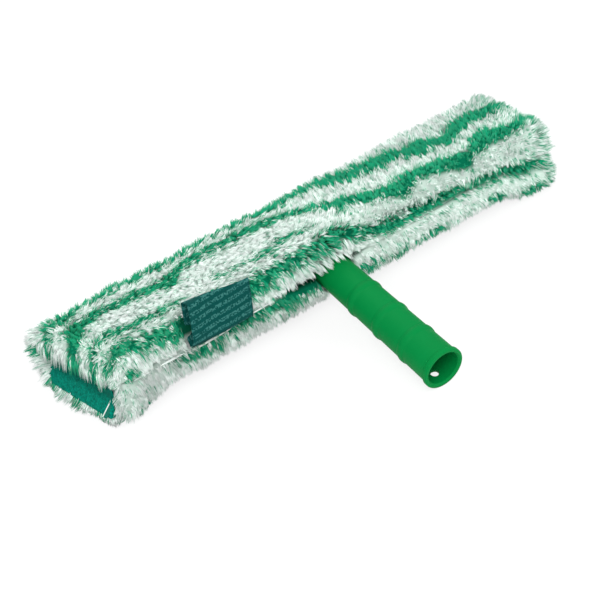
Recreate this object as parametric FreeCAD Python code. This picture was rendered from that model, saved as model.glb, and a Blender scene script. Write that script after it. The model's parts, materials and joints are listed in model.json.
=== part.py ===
import FreeCAD
import Part
import math
import os

# A window scrubber: a pile sleeve, closed along its front with hook and loop tape, over a moulded
# crossbar, and a ribbed socket handle that tilts on a pin in the crossbar. Millimetres.
# X runs along the crossbar, the handle points towards -Y and +Z is up.
# The head is drawn in its own frame: depth u grows from its centre towards the handle, height n
# grows upwards. The head is then rolled back and the handle sloped down until both touch the floor.

# Crossbar
BAR_LENGTH = 420.0
BAR_DEPTH = 64.0
BAR_THICKNESS = 24.0
BAR_EDGE_RADIUS = 4.0
BAR_RIM_WALL = 4.5
BAR_END_WALL = 7.0
WELLS_PER_SIDE = 6
WELL_RIB = 5.0
WELL_CORNER_RADIUS = 3.0

# Pivot between crossbar and handle
TILT_LIMIT_DEG = 15.0
STOP_GAP = 0.3
STOP_LAND = 2.6
STOP_HEIGHT = 17.0
PIN_RADIUS = 4.0
PIN_RUNNING_GAP = 0.05
PIN_SETBACK = 10.0
PIN_HEAD_LENGTH = 2.5
PIN_HEAD_GAP = 0.4
CLIP_THICKNESS = 1.2
PIN_TIP = 1.5
EAR_THICKNESS = 15.0
WASHER_RADIUS = 8.0
WASHER_THICKNESS = 1.2
WASHER_GAP = 0.15
KNUCKLE_WIDTH = 18.0
KNUCKLE_RADIUS = 9.5
KNUCKLE_WEB_HEIGHT = 17.0
KNUCKLE_SWING_GAP = 1.0

# Handle, measured along its axis from the pivot
HANDLE_LENGTH = 164.0
SHOULDER_RADIUS = 10.0
ROOT_RADIUS = 15.1
MOUTH_RADIUS = 17.2
ROOT_CONE_LENGTH = 8.0
RIB_HEIGHT = 1.0
RIB_WIDTH = 8.0
RIB_TO_RIM = (34.0, 66.5, 99.0)
RIM_RADIUS = 18.4
RIM_LENGTH = 5.0
RIM_ROUND = 1.2
SOCKET_RADIUS = 14.5
SOCKET_DEPTH = 60.0
MOUTH_LEAD_IN = 1.3
CORE_RADIUS = 11.5
CORE_DEPTH = 120.0
LOCK_HOLE_RADIUS = 3.5
LOCK_HOLE_TO_RIM = 12.0

# Sleeve
SLEEVE_FIT = 0.4
WALL = 18.6
FLAP_WALL = 15.2
PILE_ROUND = 20.0
END_ROUND = 10.0
END_WALL = 19.6
FLAP_SETBACK = 2.0
HEM_THICKNESS = 2.0
TAPE_THICKNESS = 1.2
TAPE_HEIGHT = 11.0
END_BACKING = 2.5
PAD_THICKNESS = 9.0
PAD_HEIGHT = 31.0
PAD_DROP = 9.0
PAD_BACK_MARGIN = 3.6
PAD_CORNER_RADIUS = 6.0
PAD_FIT = 0.2
RIGHT_END_INSET = 3.0
SLIT_LEFT = 60.0
SLIT_RIGHT = 32.0
SLIT_HALF_HEIGHT = 6.0
HANDLE_HOLE_GAP = 0.8
FLOOR_FLAT = 0.8

# Valley between the flaps' rolled lips, right of the handle, and front corners that hang at both ends
VALLEY_RADIUS = 9.0
VALLEY_DEPTH = 6.0
VALLEY_START_X = 40.0
VALLEY_START_RISE = 14.0
VALLEY_END_FALL = 7.0
HANG_RADIUS = 16.0
HANG_DROP = 7.5
HANG_START_X = 175.0
HANG_END_GAP = 2.5
HANG_FRONT_GAP = 3.0

# Care label, a flattened ribbon loop that leans back on the upper flap
LABEL_CENTRE_X = -110.0
LABEL_WIDTH = 58.0
LABEL_HEIGHT = 36.0
LABEL_RISE = 2.5
LABEL_LOOP = 3.6
LABEL_RIBBON = 0.8
LABEL_LEAN_DEG = 8.0
LABEL_FOLD_RADIUS = 1.6
LABEL_FIT = 0.2

# Construction: how far cutting tools overshoot, how flat an end edge is, how far the middle of a
# quarter arc lies from its corner for each unit of radius, and steps in the search for the slope
OVERSHOOT = 1.0
FLAT_TOLERANCE = 0.01
ARC_BEND = 1 - math.sqrt(0.5)
HALVINGS = 60

# Places worked out from the sizes above
bar_front = BAR_DEPTH / 2
bar_top = BAR_THICKNESS / 2
pivot_u = bar_front - PIN_SETBACK
tilt = math.radians(TILT_LIMIT_DEG)
slot_half = KNUCKLE_WIDTH / 2 + WASHER_THICKNESS + WASHER_GAP
ear_end = slot_half + EAR_THICKNESS
# The pin's head and clip lie in the first wells, clear of the bar's front wall.
pin_head_room = PIN_SETBACK - BAR_RIM_WALL
pin_head_radius = pin_head_room - PIN_HEAD_GAP
# The stop block behind the handle's root meets the bar's rounded front edge just past the tilt limit.
edge_ahead = (PIN_SETBACK - BAR_EDGE_RADIUS) * math.cos(tilt)
edge_above = (bar_top - BAR_EDGE_RADIUS) * math.sin(tilt)
shoulder_q = edge_ahead + edge_above + BAR_EDGE_RADIUS + STOP_GAP
tube_q = shoulder_q + ROOT_CONE_LENGTH

cavity_u = bar_front + SLEEVE_FIT
cavity_n = bar_top + SLEEVE_FIT
cavity_x = BAR_LENGTH / 2 + SLEEVE_FIT
hem_front = cavity_u + HEM_THICKNESS
loop_front = hem_front + TAPE_THICKNESS
hook_front = loop_front + TAPE_THICKNESS
flap_seam_u = bar_front - FLAP_SETBACK
pile_front = hook_front + FLAP_WALL
pile_back = -(cavity_u + WALL)
pile_top = cavity_n + WALL
pile_end = cavity_x + END_WALL
pad_face_x = -(cavity_x + END_BACKING + PAD_THICKNESS)
pad_back_u = -(cavity_u + PAD_BACK_MARGIN)
pad_front_u = cavity_u - PAD_FIT


def vector(x, y, z):
    return FreeCAD.Vector(x, y, z)


def head_box(x, u, n):
    """A box in the head's frame, from pairs of low and high values."""
    return Part.makeBox(x[1] - x[0], u[1] - u[0], n[1] - n[0], vector(x[0], -u[1], n[0]))


def rounded_outline(a_span, b_span, radius, place):
    """A closed wire round a rectangle with arcs at its corners; place(a, b) gives each point."""
    a0, a1 = a_span
    b0, b1 = b_span
    bend = radius * ARC_BEND
    edges = []
    corners = [
        ((a1 - radius, b0), (a1 - bend, b0 + bend), (a1, b0 + radius)),
        ((a1, b1 - radius), (a1 - bend, b1 - bend), (a1 - radius, b1)),
        ((a0 + radius, b1), (a0 + bend, b1 - bend), (a0, b1 - radius)),
        ((a0, b0 + radius), (a0 + bend, b0 + bend), (a0 + radius, b0)),
    ]
    last = corners[-1][2]
    for start, middle, end in corners:
        edges.append(Part.LineSegment(place(*last), place(*start)).toShape())
        edges.append(Part.Arc(place(*start), place(*middle), place(*end)).toShape())
        last = end
    return Part.Wire(edges)


def long_prism(x, u, n, radius):
    """A rounded rectangle in the u and n directions, carried along X."""
    wire = rounded_outline(u, n, radius, lambda a, b: vector(x[0], -a, b))
    return Part.Face(wire).extrude(vector(x[1] - x[0], 0, 0))


def upright_prism(x, u, n, radius):
    """A rounded rectangle in plan, carried up from n[0] to n[1]."""
    wire = rounded_outline(x, u, radius, lambda a, b: vector(a, -b, n[0]))
    return Part.Face(wire).extrude(vector(0, 0, n[1] - n[0]))


def cross_cylinder(radius, x, u, n):
    """A cylinder along X, centred on depth u and height n."""
    return Part.makeCylinder(radius, x[1] - x[0], vector(x[0], -u, n), vector(1, 0, 0))


def capsule(start, end, radius, seam):
    """A rod with round ends between two points, turned from a half outline on the seam's side."""
    along = (end - start).normalize()
    side = (seam - along * seam.dot(along)).normalize()
    bend = radius * math.sqrt(0.5)
    tail, nose = start - along * radius, end + along * radius
    tail_side, nose_side = start + side * radius, end + side * radius
    outline = [
        Part.Arc(tail, start + (side - along) * bend, tail_side),
        Part.LineSegment(tail_side, nose_side),
        Part.Arc(nose_side, end + (side + along) * bend, nose),
        Part.LineSegment(nose, tail),
    ]
    half = Part.Face(Part.Wire([edge.toShape() for edge in outline]))
    return half.revolve(start, along, 360)


def well_spans():
    """The X spans of the water wells on one side of the pivot."""
    room = BAR_LENGTH / 2 - BAR_END_WALL - ear_end
    pitch = (room + WELL_RIB) / WELLS_PER_SIDE
    return [(ear_end + i * pitch, ear_end + (i + 1) * pitch - WELL_RIB) for i in range(WELLS_PER_SIDE)]


def make_crossbar():
    """The moulded bar: two rows of wells each side, and a slot with ears for the handle's knuckle."""
    half = BAR_LENGTH / 2
    bar = long_prism((-half, half), (-bar_front, bar_front), (-bar_top, bar_top), BAR_EDGE_RADIUS)
    through = (-bar_top - OVERSHOOT, bar_top + OVERSHOOT)
    rows = ((WELL_RIB / 2, bar_front - BAR_RIM_WALL), (BAR_RIM_WALL - bar_front, -WELL_RIB / 2))
    cuts = []
    for low, high in well_spans():
        for row in rows:
            cuts.append(upright_prism((low, high), row, through, WELL_CORNER_RADIUS))
            cuts.append(upright_prism((-high, -low), row, through, WELL_CORNER_RADIUS))
    slot_back = pivot_u - KNUCKLE_RADIUS - KNUCKLE_SWING_GAP
    cuts.append(head_box((-slot_half, slot_half), (slot_back, bar_front + OVERSHOOT), through))
    cuts.append(cross_cylinder(PIN_RADIUS, (-ear_end, ear_end), pivot_u, 0))
    for span in ((-ear_end - WELL_CORNER_RADIUS, -ear_end), (ear_end, ear_end + WELL_CORNER_RADIUS)):
        cuts.append(cross_cylinder(pin_head_room - PIN_HEAD_GAP / 2, span, pivot_u, 0))
    return bar.cut(cuts)


def make_pivot_pin():
    """The pin with its head, both ends standing in the wells beside the ears."""
    end = ear_end + CLIP_THICKNESS + PIN_TIP
    shaft = cross_cylinder(PIN_RADIUS, (-ear_end, end), pivot_u, 0)
    head = cross_cylinder(pin_head_radius, (-ear_end - PIN_HEAD_LENGTH, -ear_end), pivot_u, 0)
    return shaft.fuse(head).removeSplitter()


def make_pin_clip():
    """The retaining ring pushed over the pin's plain end."""
    span = (ear_end, ear_end + CLIP_THICKNESS)
    ring = cross_cylinder(pin_head_radius, span, pivot_u, 0)
    return ring.cut(cross_cylinder(PIN_RADIUS, span, pivot_u, 0))


def make_washer(side):
    """A friction washer against one wall of the slot; side is -1 or 1."""
    span = sorted((side * slot_half, side * (slot_half - WASHER_THICKNESS)))
    disc = cross_cylinder(WASHER_RADIUS, span, pivot_u, 0)
    return disc.cut(cross_cylinder(PIN_RADIUS + PIN_RUNNING_GAP, span, pivot_u, 0))


def tube_radius(q):
    """The tapered outside radius of the handle at distance q from the pivot."""
    share = (q - tube_q) / (HANDLE_LENGTH - tube_q)
    return ROOT_RADIUS + (MOUTH_RADIUS - ROOT_RADIUS) * share


def handle_profile():
    """Half of the handle's section as a closed wire: radius along X, axis along Z."""
    def at(radius, q):
        return vector(radius, 0, q)

    def line(a, b):
        edges.append(Part.LineSegment(a, b).toShape())
        return b

    edges = []
    here = line(at(0, shoulder_q), at(SHOULDER_RADIUS, shoulder_q))
    here = line(here, at(ROOT_RADIUS, tube_q))
    for to_rim in sorted(RIB_TO_RIM, reverse=True):
        middle = HANDLE_LENGTH - to_rim
        start, end = middle - RIB_WIDTH / 2, middle + RIB_WIDTH / 2
        here = line(here, at(tube_radius(start), start))
        crest = at(tube_radius(middle) + RIB_HEIGHT, middle)
        edges.append(Part.Arc(here, crest, at(tube_radius(end), end)).toShape())
        here = at(tube_radius(end), end)
    rim_q = HANDLE_LENGTH - RIM_LENGTH
    here = line(here, at(tube_radius(rim_q), rim_q))
    here = line(here, at(RIM_RADIUS, rim_q + RIM_ROUND))
    here = line(here, at(RIM_RADIUS, HANDLE_LENGTH - RIM_ROUND))
    bend = RIM_ROUND * ARC_BEND
    face = at(RIM_RADIUS - RIM_ROUND, HANDLE_LENGTH)
    edges.append(Part.Arc(here, at(RIM_RADIUS - bend, HANDLE_LENGTH - bend), face).toShape())
    here = line(face, at(SOCKET_RADIUS + MOUTH_LEAD_IN, HANDLE_LENGTH))
    here = line(here, at(SOCKET_RADIUS, HANDLE_LENGTH - MOUTH_LEAD_IN))
    here = line(here, at(SOCKET_RADIUS, HANDLE_LENGTH - SOCKET_DEPTH))
    here = line(here, at(CORE_RADIUS, HANDLE_LENGTH - SOCKET_DEPTH))
    here = line(here, at(CORE_RADIUS, HANDLE_LENGTH - CORE_DEPTH))
    here = line(here, at(0, HANDLE_LENGTH - CORE_DEPTH))
    line(here, at(0, shoulder_q))
    return Part.Wire(edges)


def make_handle():
    """The ribbed socket handle with its knuckle, pointing along -Y from the pivot at the origin."""
    tube = Part.Face(handle_profile()).revolve(vector(0, 0, 0), vector(0, 0, 1), 360)
    tube.rotate(vector(0, 0, 0), vector(1, 0, 0), 90)
    half = KNUCKLE_WIDTH / 2
    rise = KNUCKLE_WEB_HEIGHT / 2
    web = Part.makeBox(KNUCKLE_WIDTH, tube_q, 2 * rise, vector(-half, -tube_q, -rise))
    eye = cross_cylinder(KNUCKLE_RADIUS, (-half, half), 0, 0)
    stop_half = slot_half + STOP_LAND
    stop_place = vector(-stop_half, -tube_q, -STOP_HEIGHT / 2)
    stop = Part.makeBox(2 * stop_half, ROOT_CONE_LENGTH, STOP_HEIGHT, stop_place)
    handle = tube.fuse([web, eye, stop]).removeSplitter()
    pin_hole = cross_cylinder(PIN_RADIUS + PIN_RUNNING_GAP, (-half, half), 0, 0)
    lock_place = vector(0, LOCK_HOLE_TO_RIM - HANDLE_LENGTH, 0)
    lock_hole = Part.makeCylinder(LOCK_HOLE_RADIUS, RIM_RADIUS + OVERSHOOT, lock_place, vector(0, 0, -1))
    return handle.cut([pin_hole, lock_hole])


def make_envelope():
    """The outside of the whole sleeve with the pile standing: a rounded bar with rounded ends."""
    body = long_prism((-pile_end, pile_end), (pile_back, pile_front), (-pile_top, pile_top), PILE_ROUND)
    rims = [edge for edge in body.Edges if edge.BoundBox.XLength < FLAT_TOLERANCE]
    return body.makeFillet(END_ROUND, rims).fuse([make_hanging_corner(-1), make_hanging_corner(1)])


def make_hanging_corner(side):
    """The slack of a lower front corner, which hangs below the bar's end on one side."""
    out = pile_front - HANG_FRONT_GAP - HANG_RADIUS
    low = HANG_RADIUS - HANG_DROP - pile_top
    far = pile_end - HANG_END_GAP - HANG_RADIUS
    ends = vector(side * HANG_START_X, -out, low), vector(side * far, -out, low)
    return capsule(*ends, HANG_RADIUS, vector(0, 0, 1))


def make_valley():
    """The groove where the flaps' lips roll in towards each other, from the handle to the right end."""
    out = pile_front + VALLEY_RADIUS - VALLEY_DEPTH
    start = vector(VALLEY_START_X, -out, VALLEY_START_RISE)
    end = vector(pile_end, -out, -VALLEY_END_FALL)
    return capsule(start, end, VALLEY_RADIUS, vector(0, -1, 0))


def make_bar_pocket():
    """The space inside the sleeve: the bar's pocket and the recesses of the two ends."""
    pocket = head_box((-cavity_x, cavity_x), (-cavity_u, cavity_u), (-cavity_n, cavity_n))
    across = (pad_back_u - PAD_FIT, cavity_u)
    half = PAD_HEIGHT / 2 + PAD_FIT
    radius = PAD_CORNER_RADIUS + PAD_FIT
    left = long_prism((-pile_end - OVERSHOOT, -cavity_x), across, (-half - PAD_DROP, half - PAD_DROP), radius)
    right = long_prism((cavity_x, pile_end + OVERSHOOT), across, (-half, half), radius)
    return [pocket, left, right]


def end_plate(x, drop):
    """A rounded plate that fills a recess of the sleeve between two X values, hung lower by a drop."""
    half = PAD_HEIGHT / 2
    return long_prism(x, (pad_back_u, pad_front_u), (-half - drop, half - drop), PAD_CORNER_RADIUS)


def make_slit():
    """The lens-shaped gap where the flaps part round the handle's root."""
    far = pile_front + OVERSHOOT
    left, right = vector(-SLIT_LEFT, -far, 0), vector(SLIT_RIGHT, -far, 0)
    middle = (SLIT_RIGHT - SLIT_LEFT) / 2
    upper = Part.Arc(left, vector(middle, -far, SLIT_HALF_HEIGHT), right).toShape()
    lower = Part.Arc(right, vector(middle, -far, -SLIT_HALF_HEIGHT), left).toShape()
    return Part.Face(Part.Wire([upper, lower])).extrude(vector(0, far - flap_seam_u, 0))


def make_handle_hole():
    """Room round the handle where it passes the flaps at rest, in the head's frame."""
    reach = pile_front + ROOT_RADIUS - pivot_u
    radius = tube_radius(reach) + HANDLE_HOLE_GAP
    hole = Part.makeCylinder(radius, 2 * reach, vector(0, -pivot_u, 0), vector(0, -1, 0))
    hole.rotate(vector(0, -pivot_u, 0), vector(1, 0, 0), TILT_LIMIT_DEG)
    return hole


def label_frame(shape):
    """Leans a label shape, drawn upright on the origin, back on the upper flap's front."""
    shape.rotate(vector(0, 0, 0), vector(1, 0, 0), -LABEL_LEAN_DEG)
    shape.translate(vector(LABEL_CENTRE_X, -pile_front - LABEL_LOOP / 2, LABEL_RISE))
    return shape


def label_block(grow, side_grow):
    """A slab with rounded long edges round the label, grown in section and at its two sides."""
    half = LABEL_WIDTH / 2 + side_grow
    thick = LABEL_LOOP / 2 + grow
    return long_prism((-half, half), (-thick, thick), (-grow, LABEL_HEIGHT + grow), LABEL_FOLD_RADIUS + grow)


def make_label():
    """The flattened loop of ribbon, open at its two short sides."""
    return label_frame(label_block(0, 0).cut(label_block(-LABEL_RIBBON, OVERSHOOT)))


def make_sleeve():
    """All sewn pieces of the sleeve in the head's frame, by node name."""
    envelope = make_envelope()
    pocket = make_bar_pocket()
    far_x, far_u, far_n = pile_end + OVERSHOOT, pile_front + OVERSHOOT, pile_top + OVERSHOOT
    tape_end = -pad_face_x
    inside_u = cavity_u - OVERSHOOT
    behind_seam = head_box((-far_x, far_x), (pile_back - OVERSHOOT, flap_seam_u), (-far_n, far_n))
    above = head_box((-far_x, far_x), (flap_seam_u, far_u), (0, far_n))
    below = head_box((-far_x, far_x), (flap_seam_u, far_u), (-far_n, 0))
    hem_channel = head_box((-far_x, tape_end), (inside_u, hem_front), (-cavity_n, TAPE_HEIGHT))
    tape_channel = head_box((-far_x, tape_end), (inside_u, hook_front), (0, TAPE_HEIGHT))
    openings = pocket + [hem_channel, tape_channel, make_slit(), make_handle_hole(), make_valley()]
    label_room = label_frame(label_block(LABEL_FIT, LABEL_FIT))
    pieces = {
        "pile_wrap": envelope.common(behind_seam).cut(pocket),
        "front_flap_upper": envelope.common(above).cut(openings + [label_room]),
        "front_flap_lower": envelope.common(below).cut(openings),
        "end_backing": end_plate((-cavity_x - END_BACKING, -cavity_x), PAD_DROP),
        "scrub_pad": end_plate((pad_face_x, -cavity_x - END_BACKING), PAD_DROP),
        "right_end_panel": end_plate((cavity_x, pile_end - RIGHT_END_INSET), 0),
        "care_label": make_label(),
    }
    for side, span in (("left", (-tape_end, -SLIT_LEFT)), ("right", (SLIT_RIGHT, tape_end))):
        pieces["hem_strip_" + side] = head_box(span, (cavity_u, hem_front), (-cavity_n, TAPE_HEIGHT))
        pieces["loop_tape_" + side] = head_box(span, (hem_front, loop_front), (0, TAPE_HEIGHT))
        pieces["hook_tape_" + side] = head_box(span, (loop_front, hook_front), (0, TAPE_HEIGHT))
    return pieces


def sleeve_low(roll):
    """The lowest height of the sleeve's back edge, about the head's centre, at a roll in radians."""
    centre_u = pile_back + PILE_ROUND
    centre_n = PILE_ROUND - pile_top
    return centre_u * math.sin(roll) + centre_n * math.cos(roll) - PILE_ROUND


def rim_low(slope):
    """The lowest height of the handle's rim about the head's centre, at a slope in radians."""
    pivot_height = pivot_u * math.sin(tilt - slope)
    along = (HANDLE_LENGTH - RIM_ROUND) * math.sin(slope)
    return pivot_height - along - RIM_RADIUS * math.cos(slope)


def resting_slope():
    """The handle's slope at which its rim and the flattened pile touch the same floor."""
    low, high = 0.0, tilt
    for _ in range(HALVINGS):
        middle = (low + high) / 2
        if rim_low(middle) > sleeve_low(tilt - middle) + FLOOR_FLAT:
            low = middle
        else:
            high = middle
    return (low + high) / 2


def main():
    slope = resting_slope()
    roll = tilt - slope
    floor = sleeve_low(roll) + FLOOR_FLAT
    x_axis = vector(1, 0, 0)
    origin = vector(0, 0, 0)
    pivot = vector(0, -pivot_u * math.cos(roll), pivot_u * math.sin(roll))

    head = make_sleeve()
    head["crossbar"] = make_crossbar()
    head["pivot_pin"] = make_pivot_pin()
    head["pin_clip"] = make_pin_clip()
    head["friction_washer_left"] = make_washer(-1)
    head["friction_washer_right"] = make_washer(1)
    for shape in head.values():
        shape.rotate(origin, x_axis, -math.degrees(roll))
    handle = make_handle()
    handle.rotate(origin, x_axis, math.degrees(slope))
    handle.translate(pivot)

    pieces = dict(head, handle=handle)
    reach = 2 * pile_end
    under = Part.makeBox(2 * reach, 2 * reach, reach, vector(-reach, -reach, floor - reach))
    pieces["pile_wrap"] = pieces["pile_wrap"].cut(under)
    bounds = Part.makeCompound(list(pieces.values())).optimalBoundingBox()
    shift = vector(-bounds.Center.x, -bounds.Center.y, -floor)

    os.makedirs("parts", exist_ok=True)
    for name, shape in pieces.items():
        shape.translate(shift)
        solids = shape.Solids
        print(name, "solids", len(solids), "valid", shape.isValid(), "volume", round(shape.Volume, 1))
        (solids[0] if len(solids) == 1 else shape).exportStep("parts/" + name + ".step")

    def show(label, point):
        print(label, [round(value, 9) for value in (point.x, point.y, point.z)])

    out = vector(0, -math.cos(slope), -math.sin(slope))
    show("pivot", pivot + shift)
    show("head centre", shift)
    show("draw-out axis", vector(0, -math.cos(roll), math.sin(roll)))
    show("socket axis", out)
    show("socket mouth", pivot + shift + out * HANDLE_LENGTH)
    show("socket middle", pivot + shift + out * (HANDLE_LENGTH - (SOCKET_DEPTH + MOUTH_LEAD_IN) / 2))
    print("slope", round(math.degrees(slope), 3), "roll", round(math.degrees(roll), 3))
    print("socket wall", SOCKET_DEPTH - MOUTH_LEAD_IN, "shoulder", round(shoulder_q, 3))


main()
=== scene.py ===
"""Window scrubber: a striped pile sleeve on a tilting T-bar, dressed and lit for a studio picture."""
import json
import logging
import math
from dataclasses import dataclass
from enum import Enum
from typing import Optional, Sequence

import bpy
import numpy as np
from mathutils import Matrix, Vector


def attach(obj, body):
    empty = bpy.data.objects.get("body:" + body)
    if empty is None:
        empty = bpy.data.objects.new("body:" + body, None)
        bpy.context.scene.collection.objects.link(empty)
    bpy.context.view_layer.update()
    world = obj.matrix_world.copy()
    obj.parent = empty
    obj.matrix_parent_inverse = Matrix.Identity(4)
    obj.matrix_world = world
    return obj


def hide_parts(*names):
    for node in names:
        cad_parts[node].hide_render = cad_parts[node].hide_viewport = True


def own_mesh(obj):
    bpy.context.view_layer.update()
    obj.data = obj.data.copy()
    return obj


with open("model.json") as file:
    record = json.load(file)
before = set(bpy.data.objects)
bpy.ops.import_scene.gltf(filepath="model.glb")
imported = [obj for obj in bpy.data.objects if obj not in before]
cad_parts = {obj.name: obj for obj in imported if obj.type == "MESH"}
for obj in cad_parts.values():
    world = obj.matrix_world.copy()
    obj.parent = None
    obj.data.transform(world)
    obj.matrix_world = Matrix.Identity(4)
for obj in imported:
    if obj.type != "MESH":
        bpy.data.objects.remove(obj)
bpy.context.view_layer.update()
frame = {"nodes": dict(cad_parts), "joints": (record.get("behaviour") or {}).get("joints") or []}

Array = np.ndarray
Piece = bpy.types.Object
Material = bpy.types.Material
Node = bpy.types.Node
Socket = bpy.types.NodeSocket
Span = tuple[float, float]

log = logging.getLogger("scrubber")
logging.basicConfig(level=logging.INFO, format="%(message)s")

MM = 0.001
IMAGE_SIDE = 600
SENSOR = 36.0
LENGTHWISE = np.array([1.0, 0.0, 0.0])
PIVOT_AHEAD = 22.0
FLOOR_GAP = 0.0005


class Body(str, Enum):
    """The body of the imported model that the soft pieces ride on."""

    SLEEVE = "sleeve"


class Joint(str, Enum):
    """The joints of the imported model."""

    PULL = "tbar_pull_out"
    TILT = "handle_tilt"


class Slot(str, Enum):
    """The record's material slots of the soft pieces."""

    PILE = "pile"
    PAD = "scouring_pad"
    BACKING = "backing_cloth"
    TAPE = "closure_tape"
    HEM = "hem"
    LABEL = "label_ribbon"


def ease(low: float, high: float, value: Array) -> Array:
    """A smooth step: 0 before low, 1 after high, with a cubic between them."""
    share = np.clip((np.asarray(value, float) - low) / (high - low), 0.0, 1.0)
    return share * share * (3.0 - 2.0 * share)


def band(start: float, full: float, fade: float, end: float, value: Array) -> Array:
    """A smooth step up from start to full, times a smooth step down from fade to end."""
    return ease(start, full, value) * (1 - ease(fade, end, value))


def linear(red: int, green: int, blue: int) -> tuple[float, float, float, float]:
    """Turns a screen colour of 0 to 255 into the linear colour that shaders take."""
    def channel(level: int) -> float:
        share = level / 255.0
        return share / 12.92 if share <= 0.04045 else ((share + 0.055) / 1.055) ** 2.4

    return channel(red), channel(green), channel(blue), 1.0


@dataclass(frozen=True)
class HeadFrame:
    """The head's own axes in millimetres: x along the bar, u out of the front, n out of the top."""

    origin: Array
    front: Array
    top: Array

    @classmethod
    def from_joints(cls, joints: Sequence[dict]) -> "HeadFrame":
        """Reads the axes from the joints.

        Args:
            joints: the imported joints, of which the slide gives the front and the hinge the pivot.

        Returns:
            The frame of the head at rest, with its origin behind the pivot, in the bar's middle.
        """
        by_name = {joint["name"]: joint for joint in joints}
        front = np.array(by_name[Joint.PULL.value]["axis"], float)
        front /= np.linalg.norm(front)
        pivot = np.array(by_name[Joint.TILT.value]["pos_m"], float) / MM
        return cls(pivot - PIVOT_AHEAD * front, front, np.cross(front, LENGTHWISE))

    def world(self, x: Array, u: Array, n: Array) -> Array:
        """Places head coordinates in the row frame, in metres: origin plus each axis times its length."""
        x, u, n = np.broadcast_arrays(x, u, n)
        point = self.origin + x[..., None] * LENGTHWISE + u[..., None] * self.front + n[..., None] * self.top
        return point * MM

    def place(self, points: Array) -> Array:
        """Places an array of (x, u, n) points in the row frame, in metres."""
        return self.world(*np.moveaxis(points, -1, 0))


HEAD = HeadFrame.from_joints(frame["joints"])


@dataclass(frozen=True)
class HandleLine:
    """The handle's axis at rest in head coordinates, from the pivot to the socket's mouth."""

    pivot_u: float = PIVOT_AHEAD
    tilt: float = math.radians(15.0)
    room: float = 17.4

    def apart(self, x: Array, u: Array, n: Array) -> tuple[Array, Array, Array]:
        """Splits points about the axis.

        Args:
            x: places along the bar.
            u: places out of the front.
            n: places out of the top.

        Returns:
            The distance along the axis, and the two offsets across it (sideways and upwards).
        """
        ahead = u - self.pivot_u
        along = ahead * math.cos(self.tilt) - n * math.sin(self.tilt)
        above = ahead * math.sin(self.tilt) + n * math.cos(self.tilt)
        return along, x, above

    def height(self, u: float) -> float:
        """The axis's place out of the top where it passes u: it falls by the tangent of the tilt."""
        return -(u - self.pivot_u) * math.tan(self.tilt)


HANDLE_LINE = HandleLine()


@dataclass(frozen=True)
class PileSection:
    """The rounded section of the pile, walked by sigma from the closure up, over, down and back."""

    front: float = 52.0
    back: float = -51.0
    half_height: float = 31.0
    corner: float = 20.0
    datum: float = 6.0

    @property
    def stretches(self) -> Array:
        """Sigma at the ends of the straights and arcs, which measures length on the datum line."""
        rise = self.half_height - self.corner
        arc = (self.corner - self.datum) * math.pi / 2
        top = self.front - self.back - 2 * self.corner
        return np.cumsum([0, rise, arc, top, arc, 2 * rise, arc, top, arc, rise])

    @property
    def girth(self) -> float:
        """The whole length of sigma round the section."""
        return float(self.stretches[-1])

    def apart(self, sigma: Array, other: Array) -> Array:
        """The shorter way round from other to sigma, below 0 where it runs backwards."""
        return np.mod(sigma - other + self.girth / 2, self.girth) - self.girth / 2

    def place(self, sigma: Array, inset: Array) -> tuple[Array, ...]:
        """Walks the section: a corner centre that moves along a box, plus a radius at a turning angle.

        Args:
            sigma: places round the section, wrapped at the girth.
            inset: depth below the outside.

        Returns:
            u, n, and the u and n parts of the outward normal.
        """
        knots = self.stretches
        fore, aft = self.front - self.corner, self.back + self.corner
        rise = self.half_height - self.corner
        sigma = np.mod(sigma, self.girth)
        mid_u = np.interp(sigma, knots, [fore, fore, fore, aft, aft, aft, aft, fore, fore, fore])
        mid_n = np.interp(sigma, knots, [0, rise, rise, rise, rise, -rise, -rise, -rise, -rise, 0])
        angle = np.interp(sigma, knots, np.radians([0, 0, 90, 90, 180, 180, 270, 270, 360, 360]))
        radius = self.corner - inset
        return mid_u + radius * np.cos(angle), mid_n + radius * np.sin(angle), np.cos(angle), np.sin(angle)


SECTION = PileSection()
FLAP_SEAM = 35.0
LABEL_MIDDLE = -110.0
SEAM_BELOW = SECTION.girth - FLAP_SEAM


@dataclass(frozen=True)
class Stripe:
    """One wandering coloured band: its middle and half width, given at a few places along the bar."""

    x: tuple[float, ...]
    sigma: tuple[float, ...]
    half: tuple[float, ...]

    def cover(self, x: Array, sigma: Array, soft: float) -> Array:
        """How deep a place lies in the band: half width less the distance to the middle, over soft.

        Args:
            x: places along the bar.
            sigma: places round the section.
            soft: width of the blend at each edge.

        Returns:
            0 outside, 1 inside, and a slope between.
        """
        half = np.interp(x, self.x, self.half)
        gap = np.abs(SECTION.apart(sigma, np.interp(x, self.x, self.sigma)))
        return np.clip((half - gap) / soft + 0.5, 0.0, 1.0) * (half > 0.2)


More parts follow.
